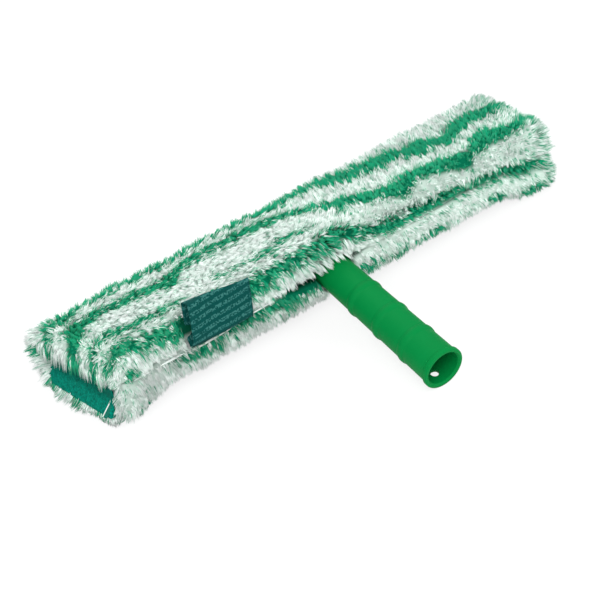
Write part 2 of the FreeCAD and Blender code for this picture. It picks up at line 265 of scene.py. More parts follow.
EVEN = (-232, -180, -120, -60, 0, 60, 120, 180, 230)
STRIPES = (
    Stripe((-232, -220, -210, -200, -190, -170, -150, -130, -120, -110, -100, -80, -60, -40, -20, 0, 10,
           20, 30, 40, 50, 60, 70, 80, 90, 100, 110, 120, 130, 140, 150, 160), (57, 62, 69, 73, 75, 73,
           72, 70, 65, 74, 79, 81, 79, 80, 78, 77, 69, 61, 56, 54, 47, 40, 36, 32, 32, 37, 37, 34, 32, 28,
           26, 26), (8, 10, 10, 8, 6.5, 6.5, 6.5, 8, 10, 7, 6.5, 7.5, 6.5, 6.5, 6.5, 7, 7, 8, 9, 8.5, 10,
           10.5, 10, 10, 9.5, 9, 9.5, 9.5, 10, 10, 9, 0)),
    Stripe((154, 160, 170, 180, 190, 202, 214, 230), (26, 30, 34, 37.5, 33, 32, 33, 33), (0, 7.5, 10.5,
           11.5, 10, 7, 7, 5)),
    Stripe((-232, -205, -190, -160, -140, -120, -100, -60, -20, 0, 20, 40, 60, 80, 100, 115, 123, 135,
           145, 152, 163, 172, 190, 202, 216, 232), (92, 94, 99, 100, 100, 100, 101, 101, 101, 99, 98, 95,
           88, 83, 81, 79, 69, 70, 68, 63, 62, 71, 75, 74, 71, 67), (5, 6.5, 6, 6.5, 8.5, 8, 7, 7, 7, 7,
           7, 7.5, 11, 11.5, 11.5, 11.5, 12.5, 13, 12, 10.5, 10.5, 11, 11, 10.5, 9, 6.5)),
    Stripe((-230, -220, -210, -200, -190, -178, -160, -145, -132, -120), (33, 36, 39.5, 39, 37.5, 36, 35,
           35, 35, 35), (3.5, 4, 4.5, 5, 5, 5, 4.5, 4.5, 3, 0)),
    Stripe((-100, -92, -80, -65, -50, -35, -22, -10, 6), (40, 41, 36, 34, 37, 41, 44, 41, 40), (0, 2.5, 2,
           2.5, 3.5, 4, 3.5, 2.5, 0)),
    Stripe((24, 29, 35, 41), (38, 36, 41, 48), (0, 5.5, 6, 0)),
    Stripe((-226, -215, -202, -190, -178, -160, -145, -110, -78, -60, -40, -20, 0, 10, 20, 30, 42, 52, 66,
           74, 82, 96, 108, 114, 122, 136, 150, 166, 176, 188, 200, 210, 222, 232), (16, 21, 21.5, 20.5,
           18, 15.5, 14.5, 15, 14.5, 16.5, 17, 16.5, 18.5, 21, 18, 15, 12, 8, 8, 7, 7, 6, 6, 5, 5, 4, 2,
           1, 0, -1, -3, -4, -6, -7), (2.5, 4, 5, 6, 6, 6.5, 7, 6, 7, 6, 6, 5.5, 6, 5.5, 5.5, 5.5, 5.5,
           5.5, 4, 3.2, 5, 5.6, 5.4, 3.6, 4.6, 3.6, 4.6, 4.6, 3.8, 5, 4.6, 4, 3, 1)),
    Stripe((-212, -205, -197, -189), (2, 3, 3, 2), (0, 5.5, 6, 0)),
    Stripe((-168, -150, -138, -125, -112, -98, -84, -70, -56, -44, -30, -14, -2), (-8, -9, -11, -10, -8,
           -6, -7, -8, -8, -9, -9, -10, -10), (0, 3.5, 5.5, 6, 5, 4, 5, 4, 6, 6.5, 5.5, 5, 0)),
    Stripe((20, 28, 42, 52), (-17, -18, -19, -20), (0, 5.5, 5, 0)),
    Stripe((78, 92, 106, 118), (-21, -22, -23, -24), (0, 7, 7, 0)),
    Stripe((156, 164, 174, 181), (-20, -21, -21, -22), (0, 6.5, 7, 0)),
    Stripe((188, 197, 207, 214), (-22, -22, -22, -23), (0, 6.5, 7, 0)),
    Stripe((206, 213, 222, 232), (-22, -24, -25, -25), (0, 6, 6.5, 4)),
    Stripe((-203, -195, -184, -176), (-25, -27, -28, -27), (0, 5, 5.5, 0)),
    Stripe((52, 60, 72, 80), (-22, -23, -23, -23), (0, 3.5, 4, 0)),
    Stripe(EVEN, (-42, -43, -44, -42, -44, -44, -42, -44, -42), (3, 3, 4, 3, 4, 4.5, 4, 4.5, 3)),
    Stripe(EVEN, (126, 131, 133, 130, 134, 131, 127, 131, 128), (5, 6, 6.5, 6, 6.5, 6, 6.5, 6, 5)),
    Stripe(EVEN, (158, 160, 157, 161, 158, 162, 159, 160, 158), (5, 5.5, 6.5, 5.5, 6.5, 5.5, 6.5, 5.5,
           5)),
    Stripe(EVEN, (190, 188, 192, 189, 193, 190, 188, 191, 189), (5, 6, 5.5, 6, 5.5, 6, 5.5, 6, 5)),
)


def strand_colours(stripe: Array, reach: Array, shade: Array) -> Array:
    """Colours for the pile's shader: stripe as red, reach from root to tip as green, shade as blue."""
    return np.stack(np.broadcast_arrays(stripe, reach, shade, 1.0), -1)


def stripe_mask(x: Array, sigma: Array, soft: float) -> Array:
    """The largest cover among all the bands, from 0 in the pale pile to 1 in a band."""
    return np.max(np.stack([stripe.cover(x, sigma, soft) for stripe in STRIPES]), axis=0)


def link(name: str, data: bpy.types.ID) -> Piece:
    """Makes an object at the origin for its data and links it to the scene."""
    made = bpy.data.objects.new(name, data)
    bpy.context.scene.collection.objects.link(made)
    return made


def new_object(name: str, points: Array, loops: Array, sizes: Array, masks: Optional[Array] = None,
               chart: Optional[Array] = None) -> Piece:
    """Puts whole arrays into a smoothly shaded mesh object that sits at the origin.

    Args:
        name: the piece's name.
        points: vertex places in metres, in an array of any shape.
        loops: the vertex of each face corner, face after face.
        sizes: the number of corners of each face.
        masks: a colour for each vertex, kept as the attribute "strand".
        chart: a place in the unit square for each face corner.

    Returns:
        The linked object.
    """
    mesh = bpy.data.meshes.new(name)
    points, loops = points.reshape(-1, 3), np.ravel(loops)
    mesh.vertices.add(len(points))
    mesh.vertices.foreach_set("co", np.ascontiguousarray(points, np.float32).ravel())
    mesh.loops.add(len(loops))
    mesh.loops.foreach_set("vertex_index", np.ascontiguousarray(loops, np.int32))
    mesh.polygons.add(len(sizes))
    mesh.polygons.foreach_set("loop_start", np.concatenate([[0], np.cumsum(sizes)[:-1]]).astype(np.int32))
    mesh.polygons.foreach_set("use_smooth", np.full(len(sizes), True))
    if masks is not None:
        layer = mesh.color_attributes.new("strand", "FLOAT_COLOR", "POINT")
        layer.data.foreach_set("color", np.ascontiguousarray(masks, np.float32).ravel())
    if chart is not None:
        places = np.ascontiguousarray(chart, np.float32).ravel()
        mesh.uv_layers.new(name="OFBake").data.foreach_set("uv", places)
    mesh.update(calc_edges=True)
    mesh.validate()
    return link(name, mesh)


def grid_quads(rows: int, cols: int, wrap: bool) -> Array:
    """The corners of the quads of a grid of points, row after row, closed round its columns if wrap."""
    here = np.arange(cols if wrap else cols - 1)
    nxt = (here + 1) % cols
    base = (np.arange(rows - 1) * cols)[:, None]
    quads = np.stack([base + here, base + nxt, base + cols + nxt, base + cols + here], -1)
    return quads.reshape(-1, 4)


def strip_caps(rows: int, cols: int) -> Array:
    """Quads that close both ends of a tube whose section runs out along one side and back along the other."""
    near = np.arange(cols // 2 - 1)
    cap = np.stack([near, cols - 1 - near, cols - 2 - near, near + 1], -1)
    return np.concatenate([cap, cap[:, ::-1] + (rows - 1) * cols])


def tube_object(name: str, points: Array, masks: Optional[Array] = None, outward: bool = True) -> Piece:
    """Makes a closed tube whose section runs out on one side and back on the other.

    Args:
        name: the piece's name.
        points: places in metres, as rows of sections with an even number of points.
        masks: a colour for each point of the grid.
        outward: False where the section is walked the other way round.

    Returns:
        The closed object.
    """
    rows, cols = points.shape[:2]
    quads = np.concatenate([grid_quads(rows, cols, True), strip_caps(rows, cols)])
    if not outward:
        quads = quads[:, ::-1]
    return new_object(name, points, quads, np.full(len(quads), 4), masks)


class NodeSheet:
    """A small helper that adds and joins shader nodes in one tree."""

    def __init__(self, tree: bpy.types.NodeTree) -> None:
        """Keeps the tree."""
        self.tree = tree

    def add(self, kind: str, **settings: object) -> Node:
        """Adds a node and sets its plain properties."""
        node = self.tree.nodes.new(kind)
        for key, value in settings.items():
            setattr(node, key, value)
        return node

    def put(self, value: object, target: Socket) -> None:
        """Links a socket to the target, or sets the target to a plain value."""
        if isinstance(value, Socket):
            self.tree.links.new(value, target)
        elif value is not None:
            target.default_value = value

    def math(self, operation: str, first: object, second: object = None) -> Socket:
        """Adds a Math node whose inputs are sockets or numbers, and gives its result."""
        node = self.add("ShaderNodeMath", operation=operation)
        self.put(first, node.inputs[0])
        self.put(second, node.inputs[1])
        return node.outputs[0]

    def noise(self, vector: Socket, scale: object, detail: float) -> Socket:
        """Adds a noise texture on a vector, and gives its value."""
        node = self.add("ShaderNodeTexNoise")
        for label, value in (("Vector", vector), ("Scale", scale), ("Detail", detail)):
            self.put(value, node.inputs[label])
        return node.outputs["Fac"]

    def mix(self, factor: object, first: object, second: object, blend: str = "MIX") -> Socket:
        """Adds a colour mix whose inputs are sockets, numbers or colours, and gives its result."""
        node = self.add("ShaderNodeMix", data_type="RGBA", blend_type=blend)
        for index, value in ((0, factor), (6, first), (7, second)):
            self.put(value, node.inputs[index])
        return node.outputs[2]


def new_group(name: str, inputs: Sequence[tuple], outputs: Sequence[tuple]) -> tuple[NodeSheet, dict, dict]:
    """Starts a shader node group.

    Args:
        name: the group's name.
        inputs: name, socket type and default of each input.
        outputs: name and socket type of each output.

    Returns:
        The sheet to add nodes with, the group's input sockets and its output sockets by name.
    """
    tree = bpy.data.node_groups.new(name, "ShaderNodeTree")
    for label, kind, default in inputs:
        socket = tree.interface.new_socket(name=label, in_out="INPUT", socket_type=kind)
        if default is not None:
            socket.default_value = default
    for label, kind in outputs:
        tree.interface.new_socket(name=label, in_out="OUTPUT", socket_type=kind)
    sheet = NodeSheet(tree)
    into, out = sheet.add("NodeGroupInput"), sheet.add("NodeGroupOutput")
    return sheet, {s.name: s for s in into.outputs if s.name}, {s.name: s for s in out.inputs if s.name}


COLOUR, FLOAT, VECTOR = "NodeSocketColor", "NodeSocketFloat", "NodeSocketVector"


def strand_group() -> bpy.types.NodeTree:
    """Pile colour: pale or striped by the mask's red, from root to tip by its green, shaded by its blue."""
    sheet, inp, out = new_group("strand_tone", (
        ("Mask", COLOUR, None), ("Pale Root", COLOUR, None), ("Pale Tip", COLOUR, None),
        ("Stripe Root", COLOUR, None), ("Stripe Tip", COLOUR, None)), (("Color", COLOUR),))
    parts = sheet.add("ShaderNodeSeparateColor")
    sheet.put(inp["Mask"], parts.inputs[0])
    stripe, reach, shade = parts.outputs
    pale = sheet.mix(reach, inp["Pale Root"], inp["Pale Tip"])
    dyed = sheet.mix(reach, inp["Stripe Root"], inp["Stripe Tip"])
    tone = sheet.mix(stripe, pale, dyed)
    grey = sheet.add("ShaderNodeCombineColor")
    for socket in grey.inputs:
        sheet.put(shade, socket)
    sheet.put(sheet.mix(1.0, tone, grey.outputs[0], "MULTIPLY"), out["Color"])
    return sheet.tree


def grain_group() -> bpy.types.NodeTree:
    """Moulded grain: two sizes of noise on object places make a height and a mask of rubbed patches."""
    sheet, inp, out = new_group("moulded_grain", (
        ("Vector", VECTOR, None), ("Fine", FLOAT, 900.0), ("Broad", FLOAT, 40.0)),
        (("Height", FLOAT), ("Patches", FLOAT)))
    fine = sheet.noise(inp["Vector"], inp["Fine"], 2.0)
    broad = sheet.noise(inp["Vector"], inp["Broad"], 4.0)
    sheet.put(sheet.math("ADD", fine, sheet.math("MULTIPLY", broad, 0.4)), out["Height"])
    sheet.put(broad, out["Patches"])
    return sheet.tree


def weave_group() -> bpy.types.NodeTree:
    """Plain weave: the product of two sine ridges across each other gives a height at each crossing."""
    sheet, inp, out = new_group("plain_weave", (
        ("Vector", VECTOR, None), ("Warp", FLOAT, 2500.0), ("Weft", FLOAT, 2500.0)),
        (("Height", FLOAT), ("Fleck", FLOAT)))
    parts = sheet.add("ShaderNodeSeparateXYZ")
    sheet.put(inp["Vector"], parts.inputs[0])
    across = sheet.math("SINE", sheet.math("MULTIPLY", parts.outputs[0], inp["Warp"]))
    slant = sheet.math("ADD", parts.outputs[1], parts.outputs[2])
    along = sheet.math("SINE", sheet.math("MULTIPLY", slant, inp["Weft"]))
    sheet.put(sheet.math("ADD", sheet.math("MULTIPLY", across, along), 1.0), out["Height"])
    sheet.put(sheet.noise(inp["Vector"], 700.0, 3.0), out["Fleck"])
    return sheet.tree


GROUPS = {"strand": strand_group(), "grain": grain_group(), "weave": weave_group()}


@dataclass(frozen=True)
class Finish:
    """What every finish has: a name and the plain numbers of its shader."""

    name: str
    roughness: float = 0.6
    specular: float = 0.4

    def start(self) -> tuple[Material, NodeSheet, Node]:
        """Makes a material with one Principled shader that has this finish's plain numbers.

        Returns:
            The material, a sheet on its tree, and its shader node.
        """
        material = bpy.data.materials.new(self.name)
        material.use_nodes = True
        shader = next(node for node in material.node_tree.nodes if node.type == "BSDF_PRINCIPLED")
        shader.inputs["Roughness"].default_value = self.roughness
        shader.inputs["Specular IOR Level"].default_value = self.specular
        return material, NodeSheet(material.node_tree), shader

    @staticmethod
    def group(sheet: NodeSheet, key: str, **values: object) -> Node:
        """Places a shared group and sets or joins its named inputs, with spaces for underscores."""
        node = sheet.add("ShaderNodeGroup", node_tree=GROUPS[key])
        for label, value in values.items():
            sheet.put(value, node.inputs[label.replace("_", " ")])
        return node

    def on_object(self, sheet: NodeSheet, key: str, **values: float) -> Node:
        """Places a shared group on object places."""
        return self.group(sheet, key, Vector=sheet.add("ShaderNodeTexCoord").outputs["Object"], **values)

    @staticmethod
    def bump(sheet: NodeSheet, shader: Node, height: Socket, strength: float, distance: float) -> None:
        """Feeds a height through a Bump node into the shader's normal."""
        node = sheet.add("ShaderNodeBump")
        for label, value in (("Strength", strength), ("Distance", distance), ("Height", height)):
            sheet.put(value, node.inputs[label])
        sheet.put(node.outputs[0], shader.inputs["Normal"])


@dataclass(frozen=True)
class PileFinish(Finish):
    """The dyed pile: pale and striped yarn, each with its own root and tip colour."""

    # Roots darker than tips: painted shade down among the strands; the mint of the pale roots is the yarn's
    # own tint.
    pale_root: tuple = linear(212, 229, 221)
    pale_tip: tuple = linear(250, 252, 251)
    stripe_root: tuple = linear(0, 124, 88)
    stripe_tip: tuple = linear(6, 170, 123)
    nap: float = 0.0

    def material(self) -> Material:
        """Makes the pile material, which reads the strand attribute."""
        material, sheet, shader = self.start()
        mask = sheet.add("ShaderNodeAttribute", attribute_name="strand")
        tone = self.group(sheet, "strand", Mask=mask.outputs["Color"], Pale_Root=self.pale_root,
                          Pale_Tip=self.pale_tip, Stripe_Root=self.stripe_root, Stripe_Tip=self.stripe_tip)
        sheet.put(tone.outputs["Color"], shader.inputs["Base Color"])
        if self.nap > 0:
            grain = self.on_object(sheet, "grain", Fine=1400.0, Broad=500.0)
            self.bump(sheet, shader, grain.outputs["Height"], 1.0, self.nap)
        return material


@dataclass(frozen=True)
class PlasticFinish(Finish):
    """Moulded plastic with a fine grain and faint rubbed patches."""

    colour: tuple = linear(0, 106, 48)
    rubbed: tuple = linear(0, 114, 54)
    bump_depth: float = 0.00012

    def material(self) -> Material:
        """Makes the plastic material on object places."""
        material, sheet, shader = self.start()
        grain = self.on_object(sheet, "grain")
        sheet.put(sheet.mix(grain.outputs["Patches"], self.colour, self.rubbed), shader.inputs["Base Color"])
        rough = sheet.add("ShaderNodeMapRange")
        rough.inputs["To Min"].default_value = self.roughness - 0.06
        rough.inputs["To Max"].default_value = self.roughness + 0.1
        sheet.put(grain.outputs["Patches"], rough.inputs["Value"])
        sheet.put(rough.outputs[0], shader.inputs["Roughness"])
        self.bump(sheet, shader, grain.outputs["Height"], 0.35, self.bump_depth)
        return material


@dataclass(frozen=True)
class WovenFinish(Finish):
    """Woven ribbon, tape or cloth, with a plain weave and a fleck."""

    colour: tuple = linear(0, 84, 76)
    fleck: tuple = linear(0, 66, 60)
    warp: float = 5200.0
    weft: float = 5200.0
    bump_depth: float = 0.0002
    rows: float = 0.0
    row_colour: tuple = linear(0, 84, 76)

    def material(self) -> Material:
        """Makes the woven material on object places, with paler woven rows if their pitch is set."""
        material, sheet, shader = self.start()
        weave = self.on_object(sheet, "weave", Warp=self.warp, Weft=self.weft)
        share = sheet.math("MULTIPLY", weave.outputs["Height"], weave.outputs["Fleck"])
        tone = sheet.mix(share, self.fleck, self.colour)
        if self.rows > 0:
            parts = sheet.add("ShaderNodeSeparateXYZ")
            sheet.put(sheet.add("ShaderNodeTexCoord").outputs["Object"], parts.inputs[0])
            ridge = sheet.math("SINE", sheet.math("MULTIPLY", parts.outputs[2], 2 * math.pi / self.rows))
            broken = sheet.math("GREATER_THAN", weave.outputs["Fleck"], 0.5)
            row = sheet.math("MULTIPLY", sheet.math("GREATER_THAN", ridge, -0.1), broken)
            tone = sheet.mix(sheet.math("MULTIPLY", row, 0.42), tone, self.row_colour)
        sheet.put(tone, shader.inputs["Base Color"])
        self.bump(sheet, shader, weave.outputs["Height"], 0.5, self.bump_depth)
        return material


@dataclass(frozen=True)
class MattedFinish(Finish):
    """Matted abrasive fibre: noise at two sizes from a dark to a light tone, with a painted shadow under the
    pile.
    """

    dark: tuple = linear(0, 62, 54)
    light: tuple = linear(0, 132, 110)

    def material(self) -> Material:
        """Makes the matted material on object places."""
        material, sheet, shader = self.start()
        grain = self.on_object(sheet, "grain", Fine=760.0, Broad=300.0)
        fleck = sheet.math("MULTIPLY", sheet.math("SUBTRACT", grain.outputs["Height"], 0.42), 1.9)
        # Painted shadow of the overhanging pile, read from the strand attribute.
        painted_shadow = sheet.add("ShaderNodeAttribute", attribute_name="strand").outputs["Color"]
        tone = sheet.mix(1.0, sheet.mix(fleck, self.dark, self.light), painted_shadow, "MULTIPLY")
        sheet.put(tone, shader.inputs["Base Color"])
        self.bump(sheet, shader, grain.outputs["Height"], 0.9, 0.0008)
        return material


@dataclass(frozen=True)
class SteelFinish(Finish):
    """Turned steel with a fine grain of two tones."""

    colour: tuple = linear(190, 192, 195)
    dark: tuple = linear(150, 152, 156)

    def material(self) -> Material:
        """Makes the metal material on object places."""
        material, sheet, shader = self.start()
        shader.inputs["Metallic"].default_value = 1.0
        grain = self.on_object(sheet, "grain", Fine=2500.0, Broad=300.0)
        sheet.put(sheet.mix(grain.outputs["Patches"], self.dark, self.colour), shader.inputs["Base Color"])
        return material


PILE = PileFinish("striped_pile", roughness=0.9, specular=0.06).material()
# The undercoat's colours are darker than the pile's: painted shade in the gaps between the strands.
UNDERCOAT = PileFinish("pile_undercoat", roughness=0.95, specular=0.05, pale_root=linear(184, 212, 198),
                       pale_tip=linear(224, 236, 229), stripe_root=linear(0, 94, 68),
                       stripe_tip=linear(0, 136, 98), nap=0.0016).material()
GREEN_PLASTIC = PlasticFinish("green_plastic", roughness=0.48, specular=0.04).material()
NATURAL_PLASTIC = PlasticFinish("natural_plastic", roughness=0.45, colour=linear(226, 226, 216),
                                rubbed=linear(234, 234, 226)).material()
STEEL = SteelFinish("turned_steel", roughness=0.3, specular=0.5).material()
SCOURING = MattedFinish("matted_fibre", roughness=0.95, specular=0.05).material()
RIBBON = WovenFinish("label_ribbon", roughness=0.7, specular=0.06, colour=linear(0, 71, 66),
                     fleck=linear(0, 50, 48), rows=0.0058, row_colour=linear(70, 132, 126)).material()
TAPE = WovenFinish("closure_tape", roughness=0.85, specular=0.2, colour=linear(0, 112, 92),
                   fleck=linear(0, 80, 68), warp=4200.0, weft=4200.0, bump_depth=0.0004).material()
HEM_CLOTH = WovenFinish("hem_cloth", roughness=0.85, specular=0.2, colour=linear(240, 243, 241),
                        fleck=linear(206, 216, 211), warp=6000.0, weft=6000.0).material()
LINING = WovenFinish("lining_cloth", roughness=0.9, specular=0.1, colour=linear(222, 228, 224),
                     fleck=linear(190, 198, 194)).material()


@dataclass(frozen=True)
class Give:
    """How a soft piece should yield as a joint moves, by flattening towards a height of the head; nothing in
    this script flattens it.
    """

    joint: Joint
    towards: float
    keep: float


UP_OUT = Give(Joint.PULL, SECTION.half_height, 0.5)
UP_OUT_NEAR = Give(Joint.PULL, SECTION.half_height, 0.66)
UP_OUT_NEXT = Give(Joint.PULL, SECTION.half_height, 0.83)
DOWN_OUT = Give(Joint.PULL, -SECTION.half_height, 0.4)
UP_TILT = Give(Joint.TILT, SECTION.half_height, 0.2)


def dress(piece: Piece, material: Material, stands_for: Sequence[str] = (),
          give: Optional[Give] = None, body: Body = Body.SLEEVE) -> Piece:
    """Gives a finished mesh its material and body, and hides the solids that it replaces.

    Args:
        piece: the finished object.
        material: what it is made of.
        stands_for: the solids that it replaces.
        give: how it would flatten with a joint; when given, the piece only gets a mesh of its own.
        body: the body that it rides on.

    Returns:
        The same object.
    """
    piece.data.materials.append(material)
    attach(piece, body.value)
    if stands_for:
        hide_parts(*stands_for)
    if give is not None:
        anchor = HEAD.world(np.array(0.0), np.array(0.0), np.array(give.towards))
        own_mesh(piece)
    log.info("%s: %d faces on %s", piece.name, len(piece.data.polygons), body.value)
    return piece


@dataclass(frozen=True)
class Opening:
    """Where the front stays open: a lens-shaped slit and the arch round the handle."""

    slit_left: float = -60.0
    slit_right: float = 32.0
    slit_half: float = 6.0
    hole: float = 17.6
    flap_u: float = 44.0
    lap: float = 0.3

    def slit(self, x: Array) -> Array:
        """Half height of the slit: a parabola between its two ends, and nothing outside them."""
        middle, reach = (self.slit_left + self.slit_right) / 2, (self.slit_right - self.slit_left) / 2
        return self.slit_half * np.clip(1 - ((x - middle) / reach) ** 2, 0, None)

    def edge(self, x: Array, side: int) -> Array:
        """How far a flap's edge lies from the closure: the slit, or a wider circle round the handle.

        Args:
            x: places along the bar.
            side: 1 for the upper flap, -1 for the lower.

        Returns:
            The distances, upwards or downwards.
        """
        arch = side * HANDLE_LINE.height(self.flap_u) + np.sqrt(np.clip(self.hole ** 2 - x ** 2, 0, None))
        return np.maximum(self.lap + self.slit(x), np.where(np.abs(x) < self.hole, arch, 0))


OPENING = Opening()


@dataclass(frozen=True)
class PileForm:
    """The form of the pile: x laid out along the bar and over its rounded ends, sigma round the section."""

    flat_half: float = 216.0
    end_round: float = 14.0
    root_depth: float = 10.0
    coat_depth: float = 4.0
    seed: int = 20
    groove_reach: float = 4.2
    groove_left: float = 1.2
    groove_right: float = 6.6
    lump: float = 0.8
    drawn_in: float = 15.0
    hang: float = 12.0
    hang_out: float = 5.0
    wave_lengths: tuple[float, ...] = (14.0, 19.0, 25.0, 34.0, 46.0, 60.0)
    wave_spread: float = 2.45
    # Painted shade and highlight in the pile's brightness: how much darker the back and the crease on the
    # right, the closure seam and the hollow beside the label get, how much darker the lower flap's left is,
    # and how much lighter the bulge on the right.
    painted_shade_back: float = 0.13
    painted_shade_crease: float = 0.08
    dim_lower: float = 0.15
    painted_shade_seam: float = 0.18
    painted_shade_hollow: float = 0.6
    painted_highlight_bulge: float = 0.05
    comb_knots: tuple[float, ...] = (0, 8, 20, 35, 60, 85, 97, 108, 120, 135, 150, 170, 215, 235, 248, 258)
    comb_left: tuple[float, ...] = (-0.2, -0.4, -0.7, -0.9, -0.95, -0.9, -0.6, -0.2, 0.3, 0.5, 0.4, 0.1, 0.0,
                                    -0.5, -0.6, -0.3)
    comb_right: tuple[float, ...] = (-0.1, -0.1, -0.1, -0.1, 0.0, 0.1, 0.15, 0.2, 0.3, 0.5, 0.4, 0.1, 0.0,
                                     -0.4, -0.3, -0.1)

    @property
    def half(self) -> float:
        """Half the laid-out length, to where the rounded ends face along the bar."""
        return self.flat_half + self.end_round * math.pi / 2

    def wander(self, x: Array, sigma: Array, phase: int, size: float = 1.0) -> Array:
        """A smooth wander: six sine waves, each with its own length and heading, over the root of six."""
        waves = np.random.default_rng(self.seed + phase).uniform(0, 2 * math.pi, (6, 2))
        total = np.zeros_like(x, float)
        for length, (heading, shift) in zip(self.wave_lengths, waves):
            run = x * math.cos(heading) + sigma * math.sin(heading)
            total = total + np.sin(2 * math.pi * run / (length * size) + shift)
        return total / self.wave_spread

    @staticmethod
    def from_valley(x: Array, sigma: Array) -> Array:
        """How far a place lies above the valley where the flaps meet, which falls towards the right."""
        valley = np.interp(x, [-230, -60, 20, 52, 93, 145, 202, 232], [-1, -1, 9, 14, 10, 3, -4, -7])
        return SECTION.apart(sigma, valley)

    def dent(self, x: Array, sigma: Array) -> Array:
        """Depth below the even section: a bell-shaped valley, deeper on the right, and broad lumps."""
        bell = np.exp(-(np.abs(self.from_valley(x, sigma)) / self.groove_reach) ** 1.5)
        deeper = self.groove_right * ease(14, 48, x) * (1 - 0.5 * ease(185, 220, x))
        return bell * (self.groove_left + deeper) + self.lump * self.wander(x, sigma, 9, 2.2)

    def turn(self, x: Array, sigma: Array) -> Array:
        """How far the surface has turned over an end: up to a quarter, but less below the pad on the left."""
        turned = np.clip((np.abs(x) - self.flat_half) / self.end_round, 0, math.pi / 2)
        return turned * np.where(x < 0, 0.36 + 0.64 * self.over_pad(sigma), 1.0)

    @staticmethod
    def over_pad(sigma: Array) -> Array:
        """1 where the section lies above the pad, falling to 0 on its front, back and underside."""
        return band(2, 20, 100, 120, np.mod(sigma, SECTION.girth))

    def drawn(self, u: Array) -> Array:
        """How far the left end is drawn in: a straight rise from the back to the front."""
        return self.drawn_in * np.clip((u + 35) / 80, 0, 1)

    def sag(self, point: Array) -> Array:
        """Lets both lower front corners hang, and draws the upper left end in towards the front.

        Args:
            point: places in head coordinates on the even form.

        Returns:
            The same places, moved by shares that grow to the ends, the front, and the foot or the top.
        """
        x, u, n = np.moveaxis(point, -1, 0)
        drawn = self.drawn(u) * (1 - 0.5 * ease(-6, -26, n)) * ease(-176, -226, x)
        ends = ease(160, 206, np.abs(x)) * (1 - 0.75 * ease(-206, -226, x))
        low = ease(2, 44, u) * (1 - ease(-16, 8, n))
        out = self.hang_out * ends * low * (x > 0)
        return np.stack([x + out + drawn, u, n - self.hang * ends * low], -1)

    def place(self, x: Array, sigma: Array, depth: Array) -> tuple[Array, Array]:
        """Places the laid-out surface: the section along the bar, then a quarter round over each end.

        Args:
            x: laid-out places along the bar.
            sigma: places round the section.
            depth: depth below the outside.

        Returns:
            Points and outward normals in head coordinates.
        """
        x, sigma, depth = np.broadcast_arrays(x, sigma, depth)
        turn, side = self.turn(x, sigma), np.sign(x)
        radius = self.end_round - depth
        along = side * (np.minimum(np.abs(x), self.flat_half) + radius * np.sin(turn))
        u, n, normal_u, normal_n = SECTION.place(sigma, self.end_round - radius * np.cos(turn))
        normal = np.stack([side * np.sin(turn), normal_u * np.cos(turn), normal_n * np.cos(turn)], -1)
        return self.sag(np.stack([along, u, n], -1)), normal

    def tone(self, x: Array, sigma: Array) -> tuple[Array, Array]:
        """How the pale pile varies over the sleeve, by smooth steps along it and round it: a share of dyed
        yarn, and a brightness that holds painted shade and a painted highlight.

        Args:
            x: laid-out places along the bar.
            sigma: places round the section.

        Returns:
            The share of dyed yarn worked into the pale pile, and the brightness of all yarn, with painted
            shade and a painted highlight in it.
        """
        sigma = np.mod(sigma, SECTION.girth)
        right = ease(15, 70, x)
        back = band(40, 62, 118, 132, sigma)
        crease = band(8, 14, 28, 36, sigma)
        lower = ease(SECTION.girth - 40, SECTION.girth - 30, sigma) * ease(5, -30, x)
        mixed = 0.03 + 0.07 * right + 0.07 * ease(-192, -216, x) + 0.1 * ease(192, 216, x)
        bulge = right * (ease(SECTION.girth - 20, SECTION.girth - 12, sigma) + 1 - ease(2, 8, sigma))
        seam = 1 - ease(2, 11, np.abs(SECTION.apart(sigma, -4.0)))
        seam = seam * ease(-60, -90, x) * ease(-205, -185, x)
        beside = x - LABEL_MIDDLE
        hollow = band(-37, -31, -18, -8, beside) * ease(1, 5, sigma) * (1 - ease(22, 30, sigma))
        # Painted shade on the right back, in the right crease, along the closure seam on the left and in the
        # hollow beside the label, a darker lower flap on the left, and a painted highlight on the bulge.
        shade = self.painted_shade_back * right * back + self.painted_shade_crease * right * crease + self.dim_lower * lower
        shade = shade + self.painted_shade_seam * seam + self.painted_shade_hollow * hollow
        return mixed, 1 - shade + self.painted_highlight_bulge * bulge

    def lean(self, x: Array, sigma: Array) -> tuple[Array, Array]:
        """The comb of the pile, in shares of its height.

        Args:
            x: laid-out places along the bar.
            sigma: places round the section.

        Returns:
            The lean towards rising sigma and the lean along x.
        """
        sigma = np.mod(sigma, SECTION.girth)
        right = ease(-25, 40, x)
        comb_left = np.interp(sigma, self.comb_knots, self.comb_left)
        comb_right = np.interp(sigma, self.comb_knots, self.comb_right)
        over = self.from_valley(x, sigma)
        comb_right = comb_right + np.where(over > 0, -0.2, 0.35) * np.exp(-np.abs(over) / 7.0)
        brushed = np.exp(-np.clip(over, 0, None) / 8.0) * (over > 0)
        brushed = brushed * ease(36, 60, x) * (1 - ease(190, 215, x))
        comb = (1 - right) * comb_left + right * comb_right
        on_top = band(14, 34, 96, 112, sigma)
        outwards = 0.5 * ease(196, 220, x) - 0.5 * ease(-198, -222, x)
        along = on_top * (0.22 * (1 - right) - 0.15 * right) + outwards - 0.8 * brushed
        along = along - 0.75 * band(98, 112, 228, 240, sigma) * ease(-196, -220, x)
        comb = comb * (1 - 0.7 * ease(198, 222, np.abs(x)))
        return comb + 0.15 * self.wander(x, sigma, 1), along + 0.15 * self.wander(x, sigma, 2)


FORM = PileForm()


